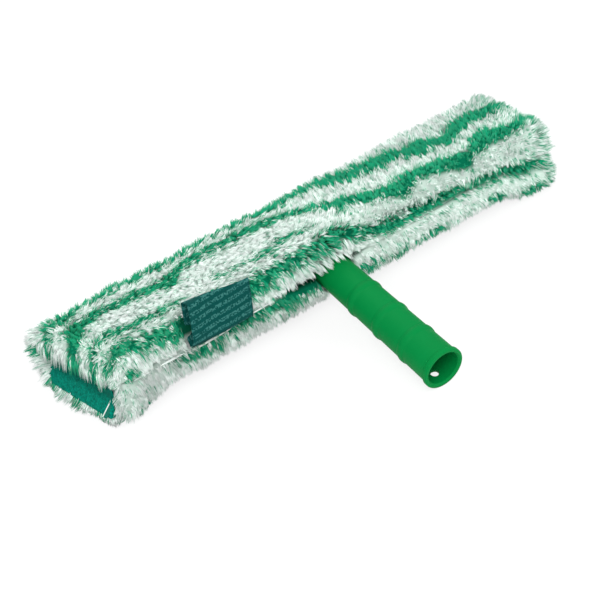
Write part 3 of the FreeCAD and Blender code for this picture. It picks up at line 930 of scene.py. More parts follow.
@dataclass
class StrandBatch:
    """Fibres of one piece of pile: three-sided tapered strands, each with a root, a bend and a tip."""

    root: Array
    bend: Array
    tip: Array
    radius: Array
    stripe: Array
    shade: Array

    def build(self, name: str) -> Piece:
        """Makes the closed mesh: a triangle at the root and at the bend, joined, and drawn to a tip.

        Args:
            name: the piece's name.

        Returns:
            The object, with its strand colours and a chart of one small cell for each strand.
        """
        count = len(self.root)
        axis = self.tip - self.root
        axis /= np.linalg.norm(axis, axis=1, keepdims=True)
        side = np.cross(axis, np.array([0.31, 0.22, 0.92]))
        side /= np.linalg.norm(side, axis=1, keepdims=True)
        other = np.cross(axis, side)
        angles = np.arange(3)[:, None] * 2 * math.pi / 3
        ring = np.cos(angles) * side[:, None] + np.sin(angles) * other[:, None]
        wide = self.radius[:, None, None]
        points = np.concatenate([self.root[:, None] + ring * wide * 0.8, self.bend[:, None] + ring * wide,
                                 self.tip[:, None]], axis=1)
        pattern = np.array([2, 1, 0, 0, 1, 4, 3, 1, 2, 5, 4, 2, 0, 3, 5, 3, 4, 6, 4, 5, 6, 5, 3, 6])
        loops = np.arange(count)[:, None] * 7 + pattern
        sizes = np.tile([3, 4, 4, 4, 3, 3, 3], count)
        reach = np.array([0, 0, 0, 0.55, 0.55, 0.55, 1.0])
        masks = strand_colours(self.stripe[:, None], reach, self.shade[:, None])
        step = np.arange(3)[:, None]
        sides, ends = (step + [0, 1, 1, 0]).ravel(), (step + [0, 1, 0.5]).ravel()
        across = np.concatenate([[0.5, 0.3, 0.1], sides, ends])
        up = np.concatenate([[0, 0.04, 0], np.tile([0.05, 0.05, 0.5, 0.5], 3), np.tile([0.5, 0.5, 1], 3)])
        cols = math.ceil(math.sqrt(count))
        cell = np.stack([np.arange(count) % cols, np.arange(count) // cols], -1)
        chart = (cell[:, None] + 0.12 + 0.76 * np.stack([across / 3, up], -1)) / cols
        return new_object(name, points, loops, sizes, masks, chart)


@dataclass
class PileZone:
    """A patch of pile between two places round the section and two along the laid-out bar."""

    name: str
    x_span: Span
    sigma_span: Span
    give: Optional[Give] = None
    pitch: float = 2.6
    fibres: int = 10
    seed: int = 1
    droop: float = 21.0
    fringe: float = 5.0
    pad_hem: float = -10.0
    collar_reach: float = 24.0
    collar_rise: float = 0.75
    lock_wide: float = 5.2
    lock_long: float = 9.5
    lock_pull: tuple[float, float, float] = (0.7, 0.4, 0.4)
    deepest: float = 12.5
    proud: float = 0.3
    height_span: Span = (0.88, 1.1)
    reach_span: Span = (0.8, 1.06)
    bow_span: Span = (0.05, 0.14)
    width_span: Span = (0.26, 0.42)
    minty_span: Span = (0.3, 0.75)
    dyed_span: Span = (0.95, 1.0)
    lock_bright: Span = (0.86, 1.12)
    tuft_bright: Span = (0.93, 1.1)
    fibre_bright: Span = (0.94, 1.07)
    brightest: float = 1.06
    left_face: float = 229.0
    label_back: float = 51.2
    label_press: float = 3.0

    def tufts(self) -> tuple[Array, Array, np.random.Generator]:
        """Sets tufts on a shaken grid over the patch.

        Returns:
            Their places along the bar and round the section, and the random source for what follows.
        """
        draw = np.random.default_rng(1000 + self.seed)
        pitch = self.pitch * 1.0
        xs = np.arange(self.x_span[0] + pitch / 2, self.x_span[1], pitch)
        ss = np.arange(self.sigma_span[0] + pitch / 2, self.sigma_span[1], pitch)
        x, sigma = (grid.ravel() for grid in np.meshgrid(xs, ss))
        x = x + draw.uniform(-0.55, 0.55, x.size) * pitch
        sigma = sigma + draw.uniform(-0.55, 0.55, x.size) * pitch
        inside = self.clear(x, sigma)
        return x[inside], sigma[inside], draw

    @staticmethod
    def clear(x: Array, sigma: Array) -> Array:
        """True where a tuft isn't rooted in the slit, round the handle or at the bottom of the valley."""
        above = np.mod(sigma, SECTION.girth)
        below = SECTION.girth - above
        parted = (np.abs(FORM.from_valley(x, sigma)) < 1.3) & (x > 44) & (x < 205)
        return (above > OPENING.edge(x, 1)) & (below > OPENING.edge(x, -1)) & ~parted

    def build(self) -> Piece:
        """Grows the tufts into fibres: tip = root + height times (normal + lean), gathered in locks.

        Returns:
            The dressed piece of pile.
        """
        x, sigma, draw = self.tufts()
        count = x.size
        dent = FORM.dent(x, sigma)
        depth = np.minimum(FORM.root_depth + dent, self.deepest)
        root, normal = FORM.place(x, sigma, depth)
        tangent = np.stack([0 * x, -normal[:, 2], normal[:, 1]], -1)
        comb, along = FORM.lean(x, sigma)
        comb = comb + draw.normal(0, 0.12, count)
        along = along + draw.normal(0, 0.12, count)
        collar = np.exp(-(x / self.collar_reach) ** 2) * ease(2, 10, np.mod(sigma, SECTION.girth))
        collar = collar * (1 - ease(24, 38, sigma))
        height = (depth - dent + self.proud) * draw.uniform(*self.height_span, count)
        height = height * (1 + self.collar_rise * collar)
        tip = root + height[:, None] * (normal + comb[:, None] * tangent + along[:, None] * LENGTHWISE)
        turn = FORM.turn(x, sigma)
        droop = np.where(x < 0, ease(0.35, 1.45, turn), 0) * FORM.over_pad(sigma)
        fringe = np.where(x < 0, ease(0.1, 0.5, turn), 0) * (normal[:, 2] < -0.4)
        tip[:, 2] -= self.droop * droop + self.fringe * fringe
        hem = self.pad_hem + draw.normal(0, 0.9, count)
        tip[:, 2] = np.where(droop > 0.25, np.maximum(tip[:, 2], hem), tip[:, 2])
        gathered, lock = self.gather(tip, x, sigma, draw)
        tip = tip + (1 - 0.75 * ease(0.1, 0.3, droop))[:, None] * (gathered - tip)
        laid, lean = np.stack([x, sigma], -1), np.stack([along, comb], -1)
        batch = self.fibre_batch(root, normal, tip, laid, lean, height, lock, draw)
        return dress(batch.build(self.name), PILE, (), self.give)

    def gather(self, tip: Array, x: Array, sigma: Array, draw: np.random.Generator) -> tuple[Array, Array]:
        """Draws tips together in locks: each goes a share of the way to the mean tip of its cell.

        Args:
            tip: tuft tips in head coordinates.
            x: laid-out places of the roots along the bar.
            sigma: places of the roots round the section.
            draw: the random source.

        Returns:
            The gathered tips, and the number of each tuft's lock.
        """
        wave_x = x + 1.6 * np.sin(sigma / 5.0) + draw.normal(0, 0.6, x.size)
        wave_s = sigma + 4.0 * np.sin(x / 3.1) + draw.normal(0, 0.8, x.size)
        column, row = (np.floor((wave + 400) / size).astype(int)
                       for wave, size in ((wave_x, self.lock_wide), (wave_s, self.lock_long)))
        _, cell = np.unique(column * 4096 + row, return_inverse=True)
        total = np.bincount(cell).astype(float)
        mean = np.stack([np.bincount(cell, tip[:, k]) / total for k in range(3)], -1)
        return tip + np.array(self.lock_pull) * (mean[cell] - tip), cell

    def fibre_batch(self, root: Array, normal: Array, tip: Array, laid: Array, lean: Array,
                    height: Array, lock: Array, draw: np.random.Generator) -> StrandBatch:
        """Splits each tuft into fibres that start round its root and close up towards its tip.

        Args:
            root: tuft roots in head coordinates.
            normal: outward normals there.
            tip: tuft tips.
            laid: laid-out x and sigma of the roots.
            lean: lean along x and round the section, in shares of the height.
            height: standing heights.
            lock: the number of each tuft's lock.
            draw: the random source.

        Returns:
            The fibres, placed in the row frame.
        """
        total = len(root) * self.fibres
        pick = np.repeat(np.arange(len(root)), self.fibres)
        offset = draw.normal(0, 1.0, (total, 3)) * self.pitch * 0.38
        offset -= (offset * normal[pick]).sum(1, keepdims=True) * normal[pick]
        start = root[pick] + offset
        end = tip[pick] + 0.5 * offset + draw.normal(0, 0.45, (total, 3))
        end = start + (end - start) * draw.uniform(*self.reach_span, total)[:, None]
        slope = np.hypot(*lean[pick].T)
        bow = normal[pick] * (height[pick] * (draw.uniform(*self.bow_span, total) + 0.14 * slope))[:, None]
        bend = start + 0.5 * (end - start) + bow + draw.normal(0, 0.25, (total, 3))
        bend, end = self.keep_clear(bend), self.keep_clear(end)
        stray = draw.normal(0, 1.5, (lock.max() + 1, 2))[lock] + draw.normal(0, 1.2, laid.shape)
        where = (laid + 0.7 * height[:, None] * lean + stray)[pick] + draw.normal(0, 1.3, (total, 2))
        mask = stripe_mask(where[:, 0], where[:, 1], 3.6)
        mixed, bright = FORM.tone(*laid.T)
        chosen = draw.uniform(0, 1, len(root))
        strength = draw.uniform(*self.minty_span, len(root))
        minty = np.where(chosen < 1.6 * mixed, strength, 0.0)[pick]
        faint = 0.36 * draw.uniform(0, 1, total) ** 2 + 0.3 * mask
        pale = np.maximum(faint, minty * draw.uniform(0.6, 1.2, total))
        dyed = draw.uniform(0, 1, total) < mixed[pick] + 0.92 * mask
        stripe = np.where(dyed, draw.uniform(*self.dyed_span, total), pale)
        bright = bright * draw.uniform(*self.lock_bright, lock.max() + 1)[lock]
        bright = bright * draw.uniform(*self.tuft_bright, len(root))
        shade = np.minimum(bright[pick] * draw.uniform(*self.fibre_bright, total), self.brightest)
        places = [HEAD.place(part) for part in (start, bend, end)]
        for part in places[1:]:
            part[:, 2] = np.maximum(part[:, 2], FLOOR_GAP)
        width = draw.uniform(*self.width_span, total) * MM * 1.0
        return StrandBatch(*places, width, stripe, shade)

    def keep_clear(self, point: Array) -> Array:
        """Moves fibre points off the handle, in from the pad's face, and behind the label's back.

        Args:
            point: fibre points in head coordinates.

        Returns:
            The points, pushed out from the handle's axis, held at the slanting left end and behind the label.
        """
        point = point.copy()
        along, side, above = HANDLE_LINE.apart(*point.T)
        away = np.hypot(side, above)
        near = (away < HANDLE_LINE.room) & (along > 0)
        push = np.where(near, HANDLE_LINE.room / np.maximum(away, 0.5) - 1.0, 0.0)
        point[:, 0] += push * side
        point[:, 1] += push * above * math.sin(HANDLE_LINE.tilt)
        point[:, 2] += push * above * math.cos(HANDLE_LINE.tilt)
        _, u, n = point.T
        front = FORM.drawn(u) - 11.0 * ease(-38, -50, u)
        front -= 8.0 * ease(-8, -20, n) * (1 - ease(-25, -29, n)) * ease(10, 40, u)
        front -= 10.0 * ease(-25, -29, n) * (1 - ease(-4, 20, u)) * ease(-35, -20, u)
        past = np.maximum(front - self.left_face - point[:, 0], 0)
        point[:, 0] += past - 2.5 * np.tanh(past / 6.0)
        x = point[:, 0] - LABEL_MIDDLE
        behind = self.label_back - 0.14 * n - self.label_press * ease(-10, -27, x) + 14.0 * ease(-32, -40, x)
        under = (x > -40) & (x < 31) & (n > 0.5) & (n < 40)
        point[:, 1] = np.where(under, np.minimum(point[:, 1], behind), point[:, 1])
        return point


@dataclass
class Sleeve:
    """The pile sleeve: its backing shells, its two front flaps and its end panel."""

    cavity_u: float = 32.4
    cavity_n: float = 12.4
    seam_u: float = 30.0
    left: float = -212.0
    right: float = 217.0
    tape_u: float = 37.2
    play: float = 0.4
    flap_thick: float = 6.0
    panel_x: float = 225.0
    step: float = 3.0

    def tint(self, x: Array, sigma: Array, outer: Array) -> Array:
        """Undercoat colours: the stripes outside, and the stripes' colour inside, with painted shade that
        makes the coat darker than the pile outside and much darker inside.
        """
        comb, along = FORM.lean(x, sigma)
        stripe = np.where(outer > 0, stripe_mask(x + 4 * along, sigma + 4 * comb, 4.0), 1.0)
        # Painted shade: outside, the coat is kept at 0.84 of the pile's brightness; inside, at 0.4.
        bright = np.where(outer > 0, 0.84 * FORM.tone(x, sigma)[1], 0.4)
        return strand_colours(stripe, 0.5, bright + 0.08 * FORM.wander(x, sigma, 5, 0.5))

    @staticmethod
    def coat(x: Array, sigma: Array) -> Array:
        """Points on the undercoat: its depth below the form, with short waves for the locks of the pile."""
        depth = FORM.coat_depth + FORM.dent(x, sigma) + 0.2 * FORM.wander(x, sigma, 7, 0.5)
        return FORM.place(x, sigma, np.clip(depth, 0.5, 12.0))[0]

    def shell(self, name: str, outer: Array, inner: Array, x: Array, sigma: Array, outward: bool) -> Piece:
        """Closes an outer and an inner sheet into one tube with undercoat colours.

        Args:
            name: the piece's name.
            outer: points of the undercoat in head coordinates.
            inner: points of the inside, walked back.
            x: laid-out places of the outer points.
            sigma: their places round the section.
            outward: False where the section is walked the other way round.

        Returns:
            The closed shell.
        """
        both_x, both_sigma = np.concatenate([x, x], 1), np.concatenate([sigma, sigma[:, ::-1]], 1)
        skin = np.concatenate([np.ones_like(sigma), np.zeros_like(sigma)], 1)
        points = HEAD.place(np.concatenate([outer, inner], 1))
        return tube_object(name, points, self.tint(both_x, both_sigma, skin), outward)

    def wrap(self) -> Piece:
        """The C-shaped shell over the top, back and underside: the undercoat, and back along the cavity."""
        xs = np.arange(-FORM.half, FORM.half + self.step, self.step).clip(-FORM.half, FORM.half)
        grid_x, sigma = np.meshgrid(xs, np.linspace(FLAP_SEAM, SEAM_BELOW, 96), indexing="ij")
        corner_u = [self.seam_u, -self.cavity_u, -self.cavity_u, self.seam_u]
        corner_n = [self.cavity_n, self.cavity_n, -self.cavity_n, -self.cavity_n]
        run = np.concatenate([[0], np.cumsum(np.hypot(np.diff(corner_u), np.diff(corner_n)))])
        walk = np.linspace(run[-1], 0, sigma.shape[1])
        u, n = (np.interp(walk, run, corner) for corner in (corner_u, corner_n))
        inner = np.stack(np.broadcast_arrays(xs.clip(self.left, self.right)[:, None], u, n), -1)
        piece = self.shell("pile_backing", self.coat(grid_x, sigma), inner, grid_x, sigma, False)
        return dress(piece, UNDERCOAT, ("pile_wrap",))

    def flap(self, name: str, node: str, upper: bool, x_span: Span, give: Give) -> Piece:
        """One front flap: the undercoat from its edge to the seam, and back along the tape and the cavity.

        Args:
            name: the piece's name.
            node: the solid that it stands for, or an empty name.
            upper: True for the flap above the closure.
            x_span: its two ends along the laid-out bar.
            give: how it should fold out of the way, handed on to dress, which doesn't fold it.

        Returns:
            The dressed flap.
        """
        xs = np.linspace(*x_span, max(4, int((x_span[1] - x_span[0]) / self.step)))
        edge = OPENING.edge(xs, 1 if upper else -1)
        above = edge[:, None] + np.linspace(0, 1, 22) * (FLAP_SEAM - edge)[:, None]
        grid_x = np.broadcast_to(xs[:, None], above.shape)
        sigma = above if upper else SECTION.girth - above
        x, u, n = np.moveaxis(self.coat(grid_x, sigma), -1, 0)
        high, roof = np.abs(n), self.cavity_n + self.play
        slope_u = np.maximum(self.seam_u, self.tape_u - 1.5 * (high - self.cavity_n - self.play))
        back_u = np.where(high < roof, self.tape_u, slope_u)
        back_n = np.sign(n) * np.minimum(high, np.maximum(roof, high - self.flap_thick))
        outer = np.stack([x, np.maximum(u, back_u + 0.3), n], -1)
        inner = np.stack([x.clip(self.left - 2.5, self.right + 4.5), back_u, back_n], -1)[:, ::-1]
        piece = self.shell(name, outer, inner, grid_x, sigma, not upper)
        return dress(piece, UNDERCOAT, (node,) if node else (), give)

    def slab(self, name: str, x_span: Span, inset: float, crown: float, material: Material,
             nodes: Sequence[str], masked: bool = False) -> Piece:
        """A closed plate across the sleeve: rings of the section that shrink to a middle, crowned outwards.

        Args:
            name: the piece's name.
            x_span: its inner and outer face.
            inset: depth of its edge below the pile's outside.
            crown: how far the middle of the outer face stands out.
            material: what it is made of.
            nodes: the solids that it stands for.
            masked: whether it carries undercoat colours.

        Returns:
            The dressed plate.
        """
        sigma = np.linspace(0, SECTION.girth, 72, endpoint=False)
        u, n, _, _ = SECTION.place(sigma, inset)
        share = np.array([0.02, 0.35, 0.65, 0.85, 0.96, 1.0, 1.0, 0.96, 0.85, 0.65, 0.35, 0.02])
        front = np.array([1, 1, 1, 1, 1, 0.75, 0.25, 0, 0, 0, 0, 0.0])
        bulge = crown * (1 - share ** 2) * (front > 0.5)
        x = x_span[0] + (x_span[1] - x_span[0]) * front + np.sign(x_span[1] - x_span[0]) * bulge
        points = HEAD.world(x[:, None], share[:, None] * u, share[:, None] * n)
        rows, cols = points.shape[:2]
        quads = grid_quads(rows, cols, True)
        rim = np.arange(cols)
        loops = np.concatenate([quads.ravel(), rim[::-1], (rows - 1) * cols + rim])
        sizes = np.concatenate([np.full(len(quads), 4), [cols, cols]])
        if x_span[1] > x_span[0]:
            starts = np.concatenate([[0], np.cumsum(sizes)[:-1]])
            loops = np.concatenate([loops[a:a + b][::-1] for a, b in zip(starts, sizes)])
        masks = None
        if masked:
            grid = np.broadcast_to(sigma, (rows, cols))
            masks = self.tint(np.full((rows, cols), self.panel_x), grid, np.ones((rows, cols)))
        piece = new_object(name, points, loops, sizes, masks)
        return dress(piece, material, nodes)

    def build(self) -> None:
        """Builds the shells, then the pile over them, zone by zone."""
        end = FORM.half
        self.wrap()
        upper = (("left", (-end, -60.0), UP_OUT), ("left_near", (-60.0, -40.0), UP_OUT_NEAR),
                 ("left_next", (-40.0, -21.0), UP_OUT_NEXT), ("collar", (-21.0, 21.0), UP_TILT),
                 ("right_next", (21.0, 40.0), UP_OUT_NEXT), ("right_near", (40.0, 60.0), UP_OUT_NEAR),
                 ("right", (60.0, end), UP_OUT))
        for part, span, give in upper:
            self.flap(f"flap_upper_{part}", "front_flap_upper" if part == "left" else "", True, span, give)
        self.flap("flap_lower", "front_flap_lower", False, (-end, end), DOWN_OUT)
        self.slab("end_cloth", (-210.5, -213.0), 17.0, 0.0, LINING, ("end_backing",))
        self.slab("end_panel", (211.0, 220.0), 13.5, 3.0, UNDERCOAT, ("right_end_panel",), True)
        below, lap = SECTION.girth, OPENING.lap
        top_end, back_end = 106, 152
        zones = (
            PileZone("pile_top_left", (-end, -75), (FLAP_SEAM, top_end)),
            PileZone("pile_top_middle", (-75, 75), (FLAP_SEAM, top_end)),
            PileZone("pile_top_right", (75, end), (FLAP_SEAM, top_end)),
            PileZone("pile_back_left", (-end, 0), (top_end, back_end), pitch=3.1),
            PileZone("pile_back_right", (0, end), (top_end, back_end), pitch=3.1),
            PileZone("pile_under_left", (-end, 0), (back_end, SEAM_BELOW), pitch=3.3),
            PileZone("pile_under_right", (0, end), (back_end, SEAM_BELOW), pitch=3.3),
            PileZone("flap_lower_pile_left", (-end, 0), (SEAM_BELOW, below - lap), DOWN_OUT),
            PileZone("flap_lower_pile_right", (0, end), (SEAM_BELOW, below - lap), DOWN_OUT),
        )
        fronts = tuple(PileZone(f"flap_upper_pile_{part}", span, (lap, FLAP_SEAM), give)
                       for part, span, give in upper)
        for seed, zone in enumerate(zones + fronts):
            zone.seed = seed
            zone.build()
        EndPile().build()


@dataclass
class EndPile:
    """The pile over the right end, which fans out from the middle of the panel."""

    x: float = 216.0
    height: float = 13.0
    pitch: float = 2.9
    half_u: float = 36.0
    half_n: float = 16.0
    seed: int = 77
    laid_x: float = 232.0

    def build(self) -> Piece:
        """Grows strands from the end plate: tip = root + height times (x axis + spread)."""
        draw = np.random.default_rng(self.seed)
        pitch = self.pitch * 1.0
        us = np.arange(-self.half_u, self.half_u + 1, pitch)
        ns = np.arange(-self.half_n, self.half_n + 0.5, pitch)
        u, n = (grid.ravel() for grid in np.meshgrid(us, ns))
        u, n = u + draw.uniform(-1.2, 1.2, u.size), n + draw.uniform(-1.2, 1.2, u.size)
        root = np.stack([np.full(u.size, self.x), u, n], -1)
        spread = np.stack([0 * u, u / 70.0, n / 32.0 - 0.12], -1) + draw.normal(0, 0.14, (u.size, 3))
        tall = self.height * draw.uniform(0.85, 1.05, u.size)
        normal = np.tile(LENGTHWISE, (u.size, 1))
        tip = root + tall[:, None] * (normal + spread)
        angle = np.mod(np.arctan2(n / self.half_n, u / self.half_u), 2 * math.pi)
        laid = np.stack([np.full(u.size, self.laid_x), angle / (2 * math.pi) * SECTION.girth], -1)
        zone = PileZone("end_pile_right", (0, 0), (0, 0), fibres=8, pitch=pitch)
        tip, lock = zone.gather(tip, u, n, draw)
        batch = zone.fibre_batch(root, normal, tip, laid, np.zeros_like(laid), tall, lock, draw)
        return dress(batch.build(zone.name), PILE)


@dataclass
class ScrubPad:
    """The scouring pad on the left end: a slab with a matted face that leans back under the pile."""

    back_x: float = -213.0
    foot_x: float = -225.0
    u_span: Span = (-46.0, 45.6)
    n_span: Span = (-28.0, 5.0)
    lean: float = 0.42
    swing: float = 0.1
    round_off: float = 0.16
    flare: float = 3.2
    shadow: float = 0.42
    shadow_span: Span = (-19.0, -8.0)
    spacing: float = 0.9
    binding_in: float = 10.0
    binding_span: Span = (17.5, 1.0)
    seed: int = 5
    rim_back: float = 2.2
    rim_soft: float = 1.6
    shaken: float = 0.2

    def sheet(self) -> tuple[Array, Array]:
        """A grid over the pad's oblong with its corners drawn in: each way shrinks by the other's square.

        The upper part flares out at its front edge, under the pile.

        Returns:
            The places across (u) and up (n).
        """
        half_u, half_n = ((high - low) / 2 for low, high in (self.u_span, self.n_span))
        across = np.linspace(-1, 1, int(2 * half_u / self.spacing))
        up = np.linspace(-1, 1, int(2 * half_n / self.spacing))
        a, b = np.meshgrid(across, up)
        u = sum(self.u_span) / 2 + half_u * a * np.sqrt(1 - self.round_off * b ** 2 / 2)
        u = u + self.flare * ease(-0.1, 0.3, b) * np.clip(a, 0, 1) ** 4
        n = sum(self.n_span) / 2 + half_n * b * np.sqrt(1 - self.round_off * a ** 2 / 2)
        return u, n

    def build(self) -> Piece:
        """Joins a leaning, shaken front sheet and a flat back sheet round their rims."""
        draw = np.random.default_rng(self.seed)
        u, n = self.sheet()
        rows, cols = u.shape
        face = self.foot_x + self.lean * (n - self.n_span[0]) + self.swing * u
        rim = np.minimum.reduce([u - u.min(), u.max() - u, n - n.min(), n.max() - n])
        face = np.minimum(face + self.rim_back * np.exp(-rim / self.rim_soft), self.back_x - 1.0)
        face = face + draw.normal(0, self.shaken, u.shape)
        front = np.stack([face, u, n], -1).reshape(-1, 3)
        back = np.stack([np.full_like(u, self.back_x), u, n], -1).reshape(-1, 3)
        quads = grid_quads(rows, cols, False)
        index = np.arange(rows * cols).reshape(rows, cols)
        loop = np.concatenate([index[0, :-1], index[:-1, -1], index[-1, :0:-1], index[:0:-1, 0]])
        side = np.stack([loop, np.roll(loop, -1), np.roll(loop, -1) + rows * cols, loop + rows * cols], -1)
        faces = np.concatenate([quads, quads[:, ::-1] + rows * cols, side[:, ::-1]])
        points = HEAD.place(np.concatenate([front, back]))
        masks = np.ones((len(points), 4))
        # Painted shadow of the overhanging pile: the front face darkens towards its top.
        masks[:u.size, :3] = 1 - self.shadow * ease(*self.shadow_span, n).reshape(-1, 1)
        piece = new_object("scrub_pad_face", points, faces, np.full(len(faces), 4), masks)
        dress(piece, SCOURING, ("scrub_pad",))
        return piece

    def binding(self, name: str, offset: float, width: float, thickness: float, material: Material) -> Piece:
        """A narrow band sewn down the pad's front edge: an oblong section carried along a slanting line.

        Args:
            name: the piece's name.
            offset: how far in front of the pad's edge the band's middle runs.
            width: its width out of the front.
            thickness: its thickness along the bar.
            material: what it is made of.

        Returns:
            The dressed band.
        """
        fall = np.linspace(0, 1, 24)[:, None]
        share = np.linspace(-1, 1, 8)
        swell = np.sqrt(np.clip(1 - share ** 4, 0.1, 1))
        across = np.concatenate([share, share[::-1]]) * width / 2
        proud = np.concatenate([-swell, swell[::-1]]) * thickness / 2
        top, foot = self.binding_span
        n = self.n_span[0] + top - (top - foot) * fall
        u = self.u_span[1] - self.binding_in + offset + 7.6 * (1 - fall) + across
        x = self.foot_x + 3.0 + 9.4 * (1 - fall) + 0.25 * (across + offset) + proud
        return dress(tube_object(name, HEAD.world(x, u, n), outward=False), material)


@dataclass
class CareLabel:
    """The folded ribbon loop on the front: sewn at its foot, rounded at its top and open at its sides."""

    middle: float = LABEL_MIDDLE
    width: float = 58.0
    height: float = 36.0
    gap: float = 2.8
    thickness: float = 0.7
    rise: float = 2.5
    out: float = 53.8
    lean: float = math.radians(8.0)
    fold: float = 1.6
    open_left: float = 3.8
    sway: float = 0.17
    rows: int = 31

    def build(self) -> Piece:
        """Carries a hairpin path, offset by half the ribbon's thickness each way, across the label."""
        across = np.linspace(-0.5, 0.5, self.rows)
        half_gap = self.gap / 2 + self.open_left * ease(-0.05, -0.5, across) + 0.15 * np.sin(across * 7)
        turn = np.linspace(0, math.pi, 14)
        bent = self.height - self.fold
        straight = np.linspace(0, bent, 14)[:-1]
        path_h = np.concatenate([straight, bent + self.fold * np.sin(turn), straight[::-1]])
        side = np.concatenate([-np.ones(13), -np.cos(turn), np.ones(13)])
        swell = np.sin(np.clip(path_h / self.height, 0, 1) * math.pi) ** 0.7
        pinch = 0.25 + 0.75 * np.clip(path_h / 6.0, 0, 1)
        path_w = side * pinch * half_gap[:, None] + 0.5 * swell * np.sign(side) * (side > 0)
        step_w = np.gradient(path_w, axis=1)
        step_h = np.gradient(np.broadcast_to(path_h, path_w.shape), axis=1)
        size = np.hypot(step_w, step_h)
        off_w, off_h = (self.thickness / 2 * part for part in (-step_h / size, step_w / size))
        w = np.concatenate([path_w + off_w, (path_w - off_w)[:, ::-1]], axis=1)
        h = np.concatenate([path_h + off_h, (path_h - off_h)[:, ::-1]], axis=1)
        x = self.middle + self.width * across[:, None] + (self.sway * h - 2.0) - 1.0
        u = self.out + w * math.cos(self.lean) - h * math.sin(self.lean) + 0.8 * np.cos(across * 5)[:, None]
        slope = 2.2 * ease(-0.25, 0.5, across)[:, None] * h / self.height
        n = self.rise - 1.8 + h * math.cos(self.lean) + w * math.sin(self.lean)
        piece = tube_object("label_loop", HEAD.world(x, u, n - 1.5 * across[:, None] - 2.5 * slope))
        dress(piece, RIBBON, ("care_label",), UP_OUT)
        return piece


@dataclass
class Closure:
    """The strips of the closure: hook and loop tapes, hem strips and the white folded edge that shows."""

    left: Span = (-212.8, -60.0)
    right: Span = (32.0, 221.9)
    edge_x: Span = (-194.0, -64.0)
    edge_u: Span = (37.4, 48.5)
    edge_n: float = -2.0
    edge_half: float = 0.36

    @staticmethod
    def strip(x_span: Span, u_span: Span, n_span: Span) -> Array:
        """A thin strip: an oblong section, rounded at its edges, carried along the bar, in metres."""
        x = np.linspace(*x_span, max(8, int((x_span[1] - x_span[0]) / 4)))
        share = np.linspace(0, 1, 12)
        swell = np.sqrt(np.clip(1 - (2 * share - 1) ** 6, 0.04, 1))
        mid, half = sum(u_span) / 2, (u_span[1] - u_span[0]) / 2
        n = n_span[0] + (n_span[1] - n_span[0]) * share
        u = np.concatenate([mid + half * swell, (mid - half * swell)[::-1]])
        return HEAD.world(x[:, None], u, np.concatenate([n, n[::-1]]))

    def edge(self) -> Piece:
        """The folded hem edge left of the handle: a thin tongue to the pile's face, rounded at its lip."""
        x = np.linspace(*self.edge_x, 100)
        share = np.linspace(0, 1, 14)
        thick = self.edge_half * np.sqrt(np.clip(1 - share ** 8, 0.02, 1))
        base, lip = self.edge_u
        reach = lip + 0.9 * np.sin(x / 11.0) + 0.5 * np.sin(x / 4.3 + 1) - 2.0 * ease(-150, -194, x)
        u = base + share * (reach - base)[:, None]
        fall = self.edge_n - (0.6 * np.sin(x / 23.0) + 2.6 * ease(-80, -125, x))[:, None] * share
        under, over = (HEAD.world(x[:, None], u, n) for n in (fall - thick, fall + thick))
        piece = tube_object("closure_edge", np.concatenate([under, over[:, ::-1]], axis=1))
        return dress(piece, HEM_CLOTH, (), DOWN_OUT)

    def build(self) -> None:
        """Builds the strips on both sides of the handle, and the edge."""
        for side, span in (("left", self.left), ("right", self.right)):
            for name, u_span, n_span, material, slot, give in (
                    ("hem_strip", (32.4, 34.3), (-12.3, 10.8), HEM_CLOTH, Slot.HEM, DOWN_OUT),
                    ("loop_tape", (34.4, 35.5), (0.1, 10.8), TAPE, Slot.TAPE, DOWN_OUT),
                    ("hook_tape", (35.6, 36.8), (0.1, 10.8), TAPE, Slot.TAPE, UP_OUT)):
                piece = tube_object(f"{name}_cloth_{side}", self.strip(span, u_span, n_span))
                dress(piece, material, (f"{name}_{side}",), give)
        self.edge()


def finish_solids() -> None:
    """Gives the rigid solids that stay in view their finish."""
    for node, material in (("handle", GREEN_PLASTIC), ("crossbar", GREEN_PLASTIC), ("pivot_pin", STEEL),
                           ("pin_clip", STEEL), ("friction_washer_left", NATURAL_PLASTIC),
                           ("friction_washer_right", NATURAL_PLASTIC)):
        mesh = frame["nodes"][node].data
        mesh.materials.clear()
        mesh.materials.append(material)
        log.info("%s: finished solid", node)


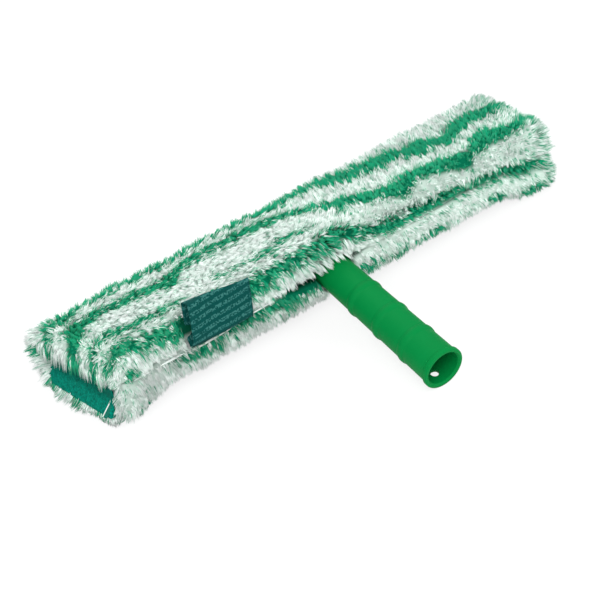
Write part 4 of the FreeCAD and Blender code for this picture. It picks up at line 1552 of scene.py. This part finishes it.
@dataclass
class Studio:
    """The pale floor, the soft lights and the camera."""

    azimuth: float = math.radians(-30.27)
    elevation: float = math.radians(37.12)
    roll: float = math.radians(-9.06)
    distance: float = 1.6
    pixels_per_metre: float = 1213.7
    centre: Span = (301.4, 246.85)
    aim: tuple[float, float, float] = (0.0, 0.05, 0.03)
    floor_half: float = 20.0
    floor_grey: float = 0.86
    floor_glow: float = 0.8

    def camera(self) -> None:
        """Sets the camera: its axes from azimuth, elevation and roll, its lens from the picture's scale."""
        a, e, t = self.azimuth, self.elevation, self.roll
        back = np.array([math.sin(a) * math.cos(e), -math.cos(a) * math.cos(e), math.sin(e)])
        level = np.array([math.cos(a), math.sin(a), 0.0])
        rise = np.cross(back, level)
        right = math.cos(t) * level + math.sin(t) * rise
        up = math.cos(t) * rise - math.sin(t) * level
        data = bpy.data.cameras.new("camera")
        data.sensor_width = SENSOR
        data.lens = self.pixels_per_metre * self.distance * SENSOR / IMAGE_SIDE
        data.shift_x = (IMAGE_SIDE / 2 - self.centre[0]) / IMAGE_SIDE
        data.shift_y = (self.centre[1] - IMAGE_SIDE / 2) / IMAGE_SIDE
        data.clip_start, data.clip_end = 0.05, 50.0
        camera = link("camera", data)
        place = HEAD.origin * MM + self.distance * back
        turn = Matrix(np.stack([right, up, back], axis=1).tolist()).to_4x4()
        camera.matrix_world = Matrix.Translation(Vector(place)) @ turn
        bpy.context.scene.camera = camera

    def floor(self) -> None:
        """A wide pale floor that shows white to the camera and still takes a faint shadow."""
        mesh = bpy.data.meshes.new("floor")
        half = self.floor_half
        corners = [(-half, -half, 0), (half, -half, 0), (half, half, 0), (-half, half, 0)]
        mesh.from_pydata(corners, [], [(0, 1, 2, 3)])
        floor = link("floor", mesh)
        material = bpy.data.materials.new("pale_floor")
        material.use_nodes = True
        sheet = NodeSheet(material.node_tree)
        material.node_tree.nodes.clear()
        out = sheet.add("ShaderNodeOutputMaterial")
        matte, glow, blend = (sheet.add(kind) for kind in (
            "ShaderNodeBsdfDiffuse", "ShaderNodeEmission", "ShaderNodeMixShader"))
        matte.inputs["Color"].default_value = (self.floor_grey,) * 3 + (1,)
        glow.inputs["Color"].default_value = (1, 1, 1, 1)
        path = sheet.add("ShaderNodeLightPath")
        rays = sheet.math("MAXIMUM", path.outputs["Is Camera Ray"], path.outputs["Is Glossy Ray"])
        rays = sheet.math("MAXIMUM", rays, path.outputs["Is Transmission Ray"])
        sheet.put(sheet.math("MULTIPLY", rays, self.floor_glow), blend.inputs[0])
        sheet.put(matte.outputs[0], blend.inputs[1])
        sheet.put(glow.outputs[0], blend.inputs[2])
        sheet.put(blend.outputs[0], out.inputs["Surface"])
        mesh.materials.append(material)

    def lights(self) -> None:
        """A bright even world, as white to the camera as to the object, and three broad soft lamps."""
        world = bpy.data.worlds.new("studio")
        bpy.context.scene.world = world
        world.use_nodes = True
        back = next(node for node in world.node_tree.nodes if node.type == "BACKGROUND")
        back.inputs["Color"].default_value = (1, 1, 1, 1)
        back.inputs["Strength"].default_value = 1.0
        for name, place, size, power in (("key", (-0.9, -1.2, 1.7), 1.2, 36.0),
                                         ("fill", (1.3, -0.9, 1.1), 1.2, 12.0),
                                         ("rim", (0.3, 1.5, 1.5), 1.4, 14.0)):
            data = bpy.data.lights.new(name, "AREA")
            data.size, data.energy = size, power
            lamp = link(name, data)
            lamp.location = place
            lamp.rotation_euler = (Vector(self.aim) - Vector(place)).to_track_quat("-Z", "Y").to_euler()

    def build(self) -> None:
        """Sets the view, the stage and the light."""
        bpy.context.scene.view_settings.view_transform = "Standard"
        self.camera()
        self.floor()
        self.lights()


def main() -> None:
    """Builds the stage, then the scrubber piece by piece."""
    Studio().build()
    finish_solids()
    Sleeve().build()
    pad = ScrubPad()
    pad.build()
    pad.binding("pad_binding", 0.4, 1.1, 1.0, LINING)
    pad.binding("pad_binding_tape", 3.0, 4.6, 0.8, TAPE)
    CareLabel().build()
    Closure().build()


if __name__ == "__main__":
    main()
